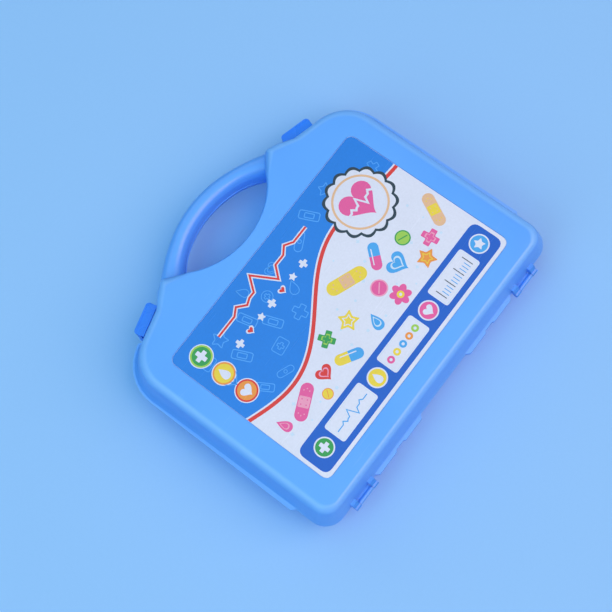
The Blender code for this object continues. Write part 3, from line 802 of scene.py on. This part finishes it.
def printed(name, prints):
    """A piece made of ink patches: each has its ink, its layer and its outline."""
    inks = sorted({ink for ink, *_ in prints})
    work = bmesh.new()
    for ink, layer, outline, *hole in prints:
        low = PAPER_TOP + layer * INK_LAYER
        print_patch(work, outline, hole[0] if hole else None, low, low + INK_LAYER, inks.index(ink))
    return inked_piece(name, work, inks)


def on_lid(piece):
    """A piece of the label, which moves with the lid."""
    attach(piece, "lid")
    return piece


sheet_work = bmesh.new()
sheet_outline = box_shape(2 * LABEL_HALF_LENGTH, 2 * LABEL_HALF_WIDTH, LABEL_CORNER)
print_patch(sheet_work, sheet_outline, None, LABEL_LOW.z, PAPER_TOP, 0)
label_sheet = inked_piece("label_sheet", sheet_work, ["white"])
on_lid(label_sheet)
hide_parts("lid_label")


# Label fields: the flat grounds of the print. A blue sky lies on the handle side, a wavy red
# stripe with a white edge closes it, and a navy bar runs along the hinge side.

FIELD_MARGIN = 0.0001
WAVE_LEVEL_SHARE = 0.22
WAVE_SHARES = ((0.30, 1.75, 0.0), (0.12, 4.2, 0.6))
WAVE_STEPS = 64
STRIPE_WIDTH = 0.0027
STRIPE_EDGE = 0.0012
BAR_MARGIN = 0.0027
BAR_WIDTH = 0.0255
BAR_CORNER = 0.0060


def wave_y(x):
    """The height of the wave over the label's middle line."""
    along = x / LABEL_HALF_LENGTH
    sway = sum(share * math.sin(pace * along + start) for share, pace, start in WAVE_SHARES)
    return (WAVE_LEVEL_SHARE + sway) * LABEL_HALF_WIDTH


def trimmed(path, reach):
    """The stretch of a path that lies between the label's two ends."""
    line = []
    for here, there in zip(path, path[1:]):
        for end in (-reach, reach):
            if (here.x - end) * (there.x - end) < 0:
                line.append(here.lerp(there, (end - here.x) / (there.x - here.x)))
        if abs(there.x) < reach:
            line.append(there)
    return line


FIELD_X = LABEL_HALF_LENGTH - FIELD_MARGIN
FIELD_Y = LABEL_HALF_WIDTH - FIELD_MARGIN
WAVE_REACH = LABEL_HALF_LENGTH + STRIPE_WIDTH * 2
wave_xs = [WAVE_REACH * (2 * k / WAVE_STEPS - 1) for k in range(WAVE_STEPS + 1)]
wave = [Vector((x, wave_y(x))) for x in wave_xs]
sky_edge = trimmed(beside(wave, STRIPE_EDGE + STRIPE_WIDTH / 2), FIELD_X)
sky_top = box_shape(2 * FIELD_X, 2 * FIELD_Y, LABEL_CORNER)
sky_field = sky_edge + [point for point in sky_top if point.y > 0.0]
stripe_edges = [trimmed(beside(wave, side * STRIPE_WIDTH / 2), FIELD_X) for side in (1, -1)]
red_stripe = stripe_edges[0] + stripe_edges[1][::-1]
BAR_Y = BAR_MARGIN + BAR_WIDTH / 2 - LABEL_HALF_WIDTH
bar_outline = moved(
    box_shape(2 * (LABEL_HALF_LENGTH - BAR_MARGIN), BAR_WIDTH, BAR_CORNER), (0.0, BAR_Y)
)
on_lid(
    printed(
        "label_fields",
        [
            ("blue", 0, sky_field),
            ("red", 0, red_stripe),
            ("navy", 0, bar_outline),
        ],
    )
)


# Label pictograms: pale outlines of everyday sick-room shapes, scattered over the blue ground,
# and small dots and pluses over the white one, as printed patterns have.

PICTOGRAM_LINE = 0.00062
PICTOGRAM_SPACING = 0.0172
SPECK_SPACING = 0.0120
PATTERN_MARGIN = 0.0080
WAVE_TRIM = 5
STAMP_TURN = 0.7
STAMP_SIZES = (0.8, 1.15)


def scatter_tree():
    """Scatters stamps over a flat area, evenly and at chance turns and sizes."""
    tree = bpy.data.node_groups.new("scattered_stamps", "GeometryNodeTree")
    for label, kind in (
        ("Area", "NodeSocketGeometry"),
        ("Stamps", "NodeSocketCollection"),
        ("Last Stamp", "NodeSocketInt"),
        ("Spacing", "NodeSocketFloat"),
        ("Seed", "NodeSocketInt"),
        ("Ink", "NodeSocketMaterial"),
    ):
        tree.interface.new_socket(label, in_out="INPUT", socket_type=kind)
    tree.interface.new_socket("Stamped", in_out="OUTPUT", socket_type="NodeSocketGeometry")
    given = tree.nodes.new("NodeGroupInput").outputs
    out = tree.nodes.new("NodeGroupOutput").inputs
    points = place_node(
        tree,
        "GeometryNodeDistributePointsOnFaces",
        {
            "Mesh": given["Area"],
            "Distance Min": given["Spacing"],
            "Density Max": 60000.0,
            "Seed": given["Seed"],
        },
        distribute_method="POISSON",
    )
    stamps = place_node(
        tree, "GeometryNodeCollectionInfo", {0: given["Stamps"], 1: True, 2: True}
    )
    which = place_node(
        tree,
        "FunctionNodeRandomValue",
        {4: 0, 5: given["Last Stamp"], "Seed": given["Seed"]},
        data_type="INT",
    )
    turn = place_node(
        tree,
        "FunctionNodeRandomValue",
        {0: (0.0, 0.0, -STAMP_TURN), 1: (0.0, 0.0, STAMP_TURN), "Seed": given["Seed"]},
        data_type="FLOAT_VECTOR",
    )
    size = place_node(
        tree,
        "FunctionNodeRandomValue",
        {2: STAMP_SIZES[0], 3: STAMP_SIZES[1], "Seed": given["Seed"]},
        data_type="FLOAT",
    )
    placed = place_node(
        tree,
        "GeometryNodeInstanceOnPoints",
        {
            "Points": points.outputs["Points"],
            "Instance": stamps.outputs[0],
            "Pick Instance": True,
            "Instance Index": which.outputs[2],
            "Rotation": turn.outputs[0],
            "Scale": size.outputs[1],
        },
    )
    real = place_node(tree, "GeometryNodeRealizeInstances", {"Geometry": placed.outputs[0]})
    inked = place_node(
        tree, "GeometryNodeSetMaterial", {"Geometry": real.outputs[0], "Material": given["Ink"]}
    )
    tree.links.new(inked.outputs[0], out["Stamped"])
    return tree


SCATTERED_STAMPS = scatter_tree()


def scattered(name, area, stamps, line, spacing, seed, ink, layer):
    """A pattern of stamps over an area of the label, as one plain mesh. No line fills them."""
    shelf = bpy.data.collections.new(f"{name}_stamps")
    bpy.context.scene.collection.children.link(shelf)
    for k, stamp in enumerate(stamps):
        mesh = bpy.data.meshes.new(f"{name}_stamp_{k}")
        work = bmesh.new()
        for outline in stamp:
            outer, inner = ring_stroke(outline, line) if line else (outline, None)
            print_patch(work, outer, inner, 0.0, INK_LAYER, 0)
        bmesh.ops.translate(work, verts=work.verts, vec=(-LABEL_CENTRE.x, -LABEL_CENTRE.y, 0.0))
        work.to_mesh(mesh)
        work.free()
        shelf.objects.link(bpy.data.objects.new(mesh.name, mesh))
    ground = bpy.data.meshes.new(f"{name}_ground")
    level = PAPER_TOP + layer * INK_LAYER
    corners = [(LABEL_CENTRE.x + p.x, LABEL_CENTRE.y + p.y, level) for p in area]
    ground.from_pydata(corners, [], [tuple(range(len(corners)))])
    draft = bpy.data.objects.new(f"{name}_draft", ground)
    bpy.context.scene.collection.objects.link(draft)
    made_by = draft.modifiers.new("scatter", "NODES")
    made_by.node_group = SCATTERED_STAMPS
    values = {
        "Stamps": shelf,
        "Last Stamp": len(stamps) - 1,
        "Spacing": spacing,
        "Seed": seed,
        "Ink": ink,
    }
    for socket in SCATTERED_STAMPS.interface.items_tree:
        if socket.name in values:
            made_by[socket.identifier] = values[socket.name]
    settled = draft.evaluated_get(bpy.context.evaluated_depsgraph_get())
    made = bpy.data.objects.new(name, bpy.data.meshes.new_from_object(settled))
    bpy.context.scene.collection.objects.link(made)
    for helper in [draft, *shelf.objects]:
        bpy.data.objects.remove(helper)
    bpy.data.collections.remove(shelf)
    return on_lid(made)


pattern_low = beside(wave, STRIPE_WIDTH / 2 + PATTERN_MARGIN)[WAVE_TRIM:-WAVE_TRIM]
pattern_top = FIELD_Y - PATTERN_MARGIN
sky_pattern = pattern_low + [
    Vector((pattern_low[-1].x, pattern_top)),
    Vector((pattern_low[0].x, pattern_top)),
]
pictograms = [
    [plus_shape(0.0105)],
    [heart_shape(0.0110), heart_shape(0.0064)],
    [lobed_shape(0.0050, steps=28), plus_shape(0.0052)],
    [pill_shape(0.0150, 0.0056), lobed_shape(0.0014, steps=16)],
    [star_shape(0.0115)],
    [drop_shape(0.0110)],
    [box_shape(0.0120, 0.0092, 0.0018), plus_shape(0.0054)],
    [box_shape(0.0056, 0.0130, 0.0014), box_shape(0.0030, 0.0060, 0.0006)],
]
scattered(
    "label_pictograms",
    sky_pattern,
    pictograms,
    line=PICTOGRAM_LINE,
    spacing=PICTOGRAM_SPACING,
    seed=7,
    ink=INKS["pale_blue"],
    layer=1,
)
speck_high = beside(wave, -PATTERN_MARGIN)[WAVE_TRIM:-WAVE_TRIM]
speck_low_y = BAR_Y + BAR_WIDTH / 2 + PATTERN_MARGIN / 2
speck_area = [
    Vector((speck_high[0].x, speck_low_y)),
    Vector((speck_high[-1].x, speck_low_y)),
    *speck_high[::-1],
]
specks = [[plus_shape(0.0026)], [lobed_shape(0.0008, steps=16)], [lobed_shape(0.0011, steps=16)]]
scattered(
    "label_specks",
    speck_area,
    specks,
    line=None,
    spacing=SPECK_SPACING,
    seed=3,
    ink=INKS["mist"],
    layer=0,
)


# Label motifs: bright flat drawings over the white ground. Plasters, capsules, tablets, hearts,
# stars, drops and pluses lie loosely in the space between the stripe and the bar.

PLASTER_WIDTH_SHARE = 0.34
PAD_SHARE = 0.86
PAD_CORNER_SHARE = 0.12
AIR_HOLE_SHARE = 0.018
AIR_HOLES = ((0.30, -0.22), (0.35, 0.0), (0.30, 0.22))
PAD_DOT_SHARE = 0.2
CAPSULE_WIDTH_SHARE = 0.38
SHINE_ENDS = (-0.30, 0.28)
SHINE_LEVEL = 0.22
SHINE_WIDTH_SHARE = 0.10
TABLET_TOP_SHARE = 0.84
TABLET_LINE_SHARES = (0.66, 0.14)
LIGHT_SHARE = 0.62
CORE_SHARE = 0.46
BLOSSOM_SHARES = (0.34, 0.14)


def plaster(at, length, turn, ink, pad):
    """A sticking plaster with its pad and air holes."""
    width = length * PLASTER_WIDTH_SHARE
    pad_side = width * PAD_SHARE
    prints = [(ink, 1, moved(pill_shape(length, width), at, turn))]
    prints.append((pad, 2, moved(box_shape(pad_side, pad_side, width * PAD_CORNER_SHARE), at, turn)))
    dot_shape = lobed_shape(length * AIR_HOLE_SHARE, steps=12)
    spin = Matrix.Rotation(turn, 2)
    for side in (-1, 1):
        for along, across in AIR_HOLES:
            hole = Vector((side * length * along, width * across))
            prints.append((pad, 2, moved(dot_shape, Vector(at) + spin @ hole)))
    for row in (-1, 1):
        for column in (-1, 1):
            dot = Vector((row, column)) * width * PAD_DOT_SHARE
            prints.append((ink, 3, moved(dot_shape, Vector(at) + spin @ dot)))
    return prints


def capsule(at, length, turn, ink, cap):
    """A two-coloured capsule with a light streak."""
    width = length * CAPSULE_WIDTH_SHARE
    half = [point for point in pill_shape(length, width) if point.x >= 0.0]
    shine = [(length * end, width * SHINE_LEVEL) for end in SHINE_ENDS]
    return [
        (ink, 1, moved(pill_shape(length, width), at, turn)),
        (cap, 2, moved([Vector((0.0, -width / 2)), *half, Vector((0.0, width / 2))], at, turn)),
        ("white", 3, moved(stroke(shine, width * SHINE_WIDTH_SHARE), at, turn)),
    ]


def tablet(at, radius, turn, ink, edge):
    """A round tablet with its break line."""
    reach, thickness = (radius * share for share in TABLET_LINE_SHARES)
    line = [(-reach, 0.0), (reach, 0.0)]
    return [
        (edge, 1, moved(lobed_shape(radius), at)),
        (ink, 2, moved(lobed_shape(radius * TABLET_TOP_SHARE), at)),
        (edge, 3, moved(stroke(line, thickness), at, turn)),
    ]


def shiny(shape, at, size, turn, ink, light):
    """A plain shape with a smaller, lighter one inside it, and its own ink again in the middle."""
    return [
        (ink, 1, moved(shape(size), at, turn)),
        (light, 2, moved(shape(size * LIGHT_SHARE), at, turn)),
        (ink, 3, moved(shape(size * CORE_SHARE), at, turn)),
    ]


def blossom(at, radius, ink, middle):
    """A six-petalled flower."""
    return [
        (ink, 1, moved(lobed_shape(radius, lobes=6, depth=0.34), at, turn=0.3)),
        (middle, 2, moved(lobed_shape(radius * BLOSSOM_SHARES[0]), at)),
        ("white", 3, moved(lobed_shape(radius * BLOSSOM_SHARES[1], steps=16), at)),
    ]


motifs = [
    *plaster((-0.0700, -0.0235), 0.0270, 0.42, "pink", "rose"),
    *shiny(heart_shape, (-0.0460, -0.0225), 0.0125, -0.15, "red", "rose"),
    *capsule((-0.0270, -0.0290), 0.0210, -0.55, "yellow", "sky"),
    *shiny(star_shape, (-0.0075, -0.0135), 0.0165, 0.25, "yellow", "white"),
    *shiny(plus_shape, (-0.0265, -0.0095), 0.0125, 0.35, "green", "lime"),
    *shiny(drop_shape, (0.0035, -0.0290), 0.0135, -0.3, "sky", "mist"),
    *plaster((0.0145, 0.0045), 0.0310, -0.38, "yellow", "sand"),
    *tablet((0.0235, -0.0165), 0.0062, 0.6, "pink", "rose"),
    *blossom((0.0285, -0.0310), 0.0078, "pink", "yellow"),
    *capsule((0.0400, -0.0005), 0.0205, 0.85, "pink", "sky"),
    *shiny(heart_shape, (0.0450, -0.0160), 0.0165, 0.2, "sky", "mist"),
    *shiny(star_shape, (0.0600, -0.0300), 0.0155, -0.2, "orange", "yellow"),
    *tablet((0.0620, -0.0080), 0.0056, -0.4, "lime", "green"),
    *shiny(plus_shape, (0.0733, -0.0232), 0.0130, 0.1, "pink", "rose"),
    *plaster((0.0912, -0.0132), 0.0260, 1.1, "sand", "yellow"),
    *shiny(drop_shape, (-0.0905, -0.0225), 0.0120, 0.25, "pink", "rose"),
    *tablet((-0.0560, -0.0330), 0.0040, 0.9, "yellow", "orange"),
]
on_lid(printed("label_motifs", motifs))


# Label badges: three round badges down the short side, a pulse line with a row of small shapes
# under it on the blue ground, and one large scalloped badge with a heart at the far end.

BADGE_X = -0.0868
BADGE_RADIUS = 0.0086
BADGE_YS = (0.0525, 0.0325, 0.0125)
PULSE_Y = 0.0515
PULSE_START_X = -0.0690
PULSE_LENGTH = 0.0980
PULSE_HEIGHT = 0.0100
PULSE_LINE = 0.0015
PULSE_SHARES = (
    (0.0, 0.0), (0.18, 0.0), (0.24, 0.35), (0.30, -0.2), (0.35, 0.0), (0.40, 0.0),
    (0.48, 1.0), (0.58, -0.8), (0.65, 0.0), (0.74, 0.0), (0.80, 0.4), (0.86, 0.0), (1.0, 0.0),
)
ROW_Y = 0.0365
ROW_START_X = -0.0640
ROW_PITCH = 0.0118
ROW_COUNT = 7
ROW_SIZE = 0.0066
LARGE_BADGE = Vector((0.0660, 0.0315))
LARGE_RADIUS = 0.0270
LARGE_FACE_SHARE = 0.915
LARGE_RING_SHARE = 0.73
LARGE_LINE = 0.0016
LARGE_HEART = 0.0290
LARGE_HEART_LIFT = Vector((0.0, 0.0012))
BEAT_START = Vector((0.0165, 0.0005))
RIM_SHARE = 0.92
FACE_SHARE = 0.78
PULSE_EDGE_SHARE = 2.1
ROW_CORE_SHARE = 0.66


def pulse_path(start, length, height):
    """A heartbeat trace, as a line."""
    return [Vector((start[0] + x * length, start[1] + y * height)) for x, y in PULSE_SHARES]


badges = []
badge_kinds = (
    ("green", "lime", plus_shape, 0.0090),
    ("yellow", "orange", drop_shape, 0.0100),
    ("orange", "red", heart_shape, 0.0092),
)
for y, (ink, rim, shape, size) in zip(BADGE_YS, badge_kinds):
    at = (BADGE_X, y)
    badges.append(("white", 1, moved(lobed_shape(BADGE_RADIUS), at)))
    badges.append((rim, 2, moved(lobed_shape(BADGE_RADIUS * RIM_SHARE), at)))
    badges.append((ink, 3, moved(lobed_shape(BADGE_RADIUS * FACE_SHARE), at)))
    badges.append(("white", 4, moved(shape(size), at)))

pulse = pulse_path((PULSE_START_X, PULSE_Y), PULSE_LENGTH, PULSE_HEIGHT)
badges.append(("white", 2, stroke(pulse, PULSE_LINE * PULSE_EDGE_SHARE)))
badges.append(("red", 3, stroke(pulse, PULSE_LINE)))
for k in range(ROW_COUNT):
    at = (ROW_START_X + k * ROW_PITCH, ROW_Y)
    shape = (plus_shape, heart_shape, star_shape)[k % 3]
    badges.append(("white", 2, moved(shape(ROW_SIZE), at)))
    if k % 3 == 1:
        badges.append(("red", 3, moved(shape(ROW_SIZE * ROW_CORE_SHARE), at)))

scallop = lobed_shape(1.0, lobes=14, depth=0.10, steps=168)
beat = pulse_path(LARGE_BADGE - BEAT_START, length=0.0330, height=0.0052)
badges += [
    ("ink", 1, moved(scallop, LARGE_BADGE, 0.0, LARGE_RADIUS)),
    ("white", 2, moved(scallop, LARGE_BADGE, 0.0, LARGE_RADIUS * LARGE_FACE_SHARE)),
    ("sand", 3, *ring_stroke(moved(lobed_shape(LARGE_RADIUS * LARGE_RING_SHARE), LARGE_BADGE), LARGE_LINE)),
    ("pink", 3, moved(heart_shape(LARGE_HEART), LARGE_BADGE + LARGE_HEART_LIFT)),
    ("white", 4, stroke(beat, LARGE_LINE)),
]
on_lid(printed("label_badges", badges))


# Label bar print: white panels and round badges that take turns along the navy bar. They hold
# a pulse line, a row of tablets and a plain scale of strokes.

PANEL_LENGTH = 0.0385
PANEL_WIDTH = 0.0172
PANEL_CORNER = 0.0022
PANEL_INSET = 0.0018
PANEL_LINE = 0.0003
PANEL_XS = (-0.0565, 0.0015, 0.0595)
BAR_BADGE_XS = (-0.0862, -0.0275, 0.0305, 0.0890)
BAR_BADGE_RADIUS = 0.0072
BAR_BADGE_SHARE = 0.86
BAR_PULSE_START = (0.0160, 0.0010)
TABLET_PITCH = 0.0068
TABLET_RADII = (0.0027, 0.0011)
SCALE_STROKES = 13
SCALE_PITCH = 0.0025
SCALE_LINE = 0.0006
SCALE_HEIGHTS = (0.0055, 0.0090)
SCALE_FOOT = 0.0050
bar_prints = [
    ("white", 1, moved(box_shape(PANEL_LENGTH, PANEL_WIDTH, PANEL_CORNER), (x, BAR_Y)))
    for x in PANEL_XS
]
for x in PANEL_XS:
    frame_line = box_shape(PANEL_LENGTH - PANEL_INSET, PANEL_WIDTH - PANEL_INSET, PANEL_CORNER)
    bar_prints.append(("mist", 2, *ring_stroke(moved(frame_line, (x, BAR_Y)), PANEL_LINE)))
bar_pulse_start = (PANEL_XS[0] - BAR_PULSE_START[0], BAR_Y - BAR_PULSE_START[1])
bar_pulse = pulse_path(bar_pulse_start, length=0.0320, height=0.0046)
bar_prints.append(("sky", 2, stroke(bar_pulse, width=0.0008)))
for k, ink in enumerate(("pink", "yellow", "sky", "orange", "lime")):
    at = (PANEL_XS[1] + (k - 2) * TABLET_PITCH, BAR_Y)
    bar_prints.append((ink, 2, moved(lobed_shape(TABLET_RADII[0], steps=32), at)))
    bar_prints.append(("white", 3, moved(lobed_shape(TABLET_RADII[1], steps=20), at)))
for k in range(SCALE_STROKES):
    x = PANEL_XS[2] + (k - (SCALE_STROKES - 1) / 2) * SCALE_PITCH
    is_long = k % 4 == 0
    foot = BAR_Y - SCALE_FOOT
    line = stroke([(x, foot), (x, foot + SCALE_HEIGHTS[is_long])], SCALE_LINE)
    bar_prints.append(("ink" if is_long else "sky", 2, line))
bar_kinds = (
    ("green", plus_shape, 0.0078),
    ("yellow", drop_shape, 0.0088),
    ("pink", heart_shape, 0.0080),
    ("sky", star_shape, 0.0090),
)
for x, (ink, shape, size) in zip(BAR_BADGE_XS, bar_kinds):
    bar_prints.append(("white", 1, moved(lobed_shape(BAR_BADGE_RADIUS), (x, BAR_Y))))
    bar_prints.append((ink, 2, moved(lobed_shape(BAR_BADGE_RADIUS * BAR_BADGE_SHARE), (x, BAR_Y))))
    bar_prints.append(("white", 3, moved(shape(size), (x, BAR_Y))))
on_lid(printed("label_bar_print", bar_prints))


# Floor: a plain sheet of pale blue card that the case lies on, matt and with a barely visible
# tooth. It is large, so that its edges lie far from the case.

FLOOR_HALF = 8.0
FLOOR_BLUE = (0.275, 0.508, 0.900, 1.0)
FLOOR_SHADE = (0.262, 0.495, 0.885, 1.0)

floor_mesh = bpy.data.meshes.new("floor")
floor_mesh.from_pydata(
    [(-FLOOR_HALF, -FLOOR_HALF, 0.0), (FLOOR_HALF, -FLOOR_HALF, 0.0),
     (FLOOR_HALF, FLOOR_HALF, 0.0), (-FLOOR_HALF, FLOOR_HALF, 0.0)],
    [],
    [(0, 1, 2, 3)],
)
floor = bpy.data.objects.new("floor", floor_mesh)
bpy.context.scene.collection.objects.link(floor)
card = bpy.data.materials.new("pale_blue_card")
card.use_nodes = True
card_shader = card.node_tree.nodes["Principled BSDF"]
card_shader.inputs["Roughness"].default_value = 0.75
card_shader.inputs["Specular IOR Level"].default_value = 0.2
card_where = place_node(card.node_tree, "ShaderNodeTexCoord").outputs["Object"]
tooth = noise(card.node_tree, card_where, scale=420.0, detail=3.0)
card_tone = blended(card.node_tree, tooth, FLOOR_BLUE, FLOOR_SHADE)
card.node_tree.links.new(card_tone, card_shader.inputs["Base Color"])
floor_mesh.materials.append(card)


# Lights: one large softbox on the hinge side, a wide one overhead, two weak ones to the left and
# behind the handle, and a pale surround that dims towards the horizon.

SURROUND_LOW = 0.18
SURROUND_HIGH = 0.48
SURROUND_TINT = (0.60, 0.88, 0.92, 1.0)


def softbox(name, place, side, watts, colour):
    """A square softbox that faces the case."""
    light = bpy.data.lights.new(name, "AREA")
    light.shape = "SQUARE"
    light.size = side
    light.energy = watts
    light.color = colour
    made = bpy.data.objects.new(name, light)
    made.location = place
    made.rotation_euler = (-Vector(place)).to_track_quat("-Z", "Y").to_euler()
    bpy.context.scene.collection.objects.link(made)


softbox("key_softbox", place=(0.75, -1.65, 2.15), side=2.8, watts=70.0, colour=(1.0, 0.67, 0.59))
softbox("side_softbox", place=(-1.70, 0.15, 1.60), side=1.5, watts=12.5, colour=(0.70, 0.98, 1.0))
softbox("back_softbox", place=(0.55, 1.80, 1.50), side=1.5, watts=5.0, colour=(0.90, 0.95, 0.95))
softbox("top_softbox", place=(-0.45, 0.30, 2.45), side=2.5, watts=19.0, colour=(0.38, 0.90, 0.96))
surround = bpy.data.worlds.new("surround")
surround.use_nodes = True
bpy.context.scene.world = surround
ambient = surround.node_tree
direction = place_node(ambient, "ShaderNodeTexCoord").outputs["Generated"]
height = place_node(ambient, "ShaderNodeSeparateXYZ", {"Vector": direction}).outputs["Z"]
brightness = ranged(ambient, height, low=0.0, high=1.0, to_low=SURROUND_LOW, to_high=SURROUND_HIGH)
ambient.nodes["Background"].inputs["Color"].default_value = SURROUND_TINT
ambient.links.new(brightness, ambient.nodes["Background"].inputs["Strength"])


# Camera: a long lens high above the case, a little towards the hinge side and the left end. It
# was solved from the label's corners, and is rolled as in the photograph.

EYE = Vector((-0.15702, -0.21573, 0.89672))
AIM = Vector((-0.01572, -0.00487, 0.0510))
ROLL = math.radians(-19.3256)
LENS_MM = 75.882

camera = bpy.data.objects.new("camera", bpy.data.cameras.new("camera"))
camera.data.lens = LENS_MM
camera.data.sensor_width = 36.0
camera.data.clip_start = 0.01
camera.location = EYE
camera.rotation_mode = "QUATERNION"
camera.rotation_quaternion = (AIM - EYE).to_track_quat("-Z", "Y") @ Quaternion((0.0, 0.0, 1.0), ROLL)
bpy.context.scene.collection.objects.link(camera)
bpy.context.scene.camera = camera
bpy.context.scene.view_settings.view_transform = "Standard"
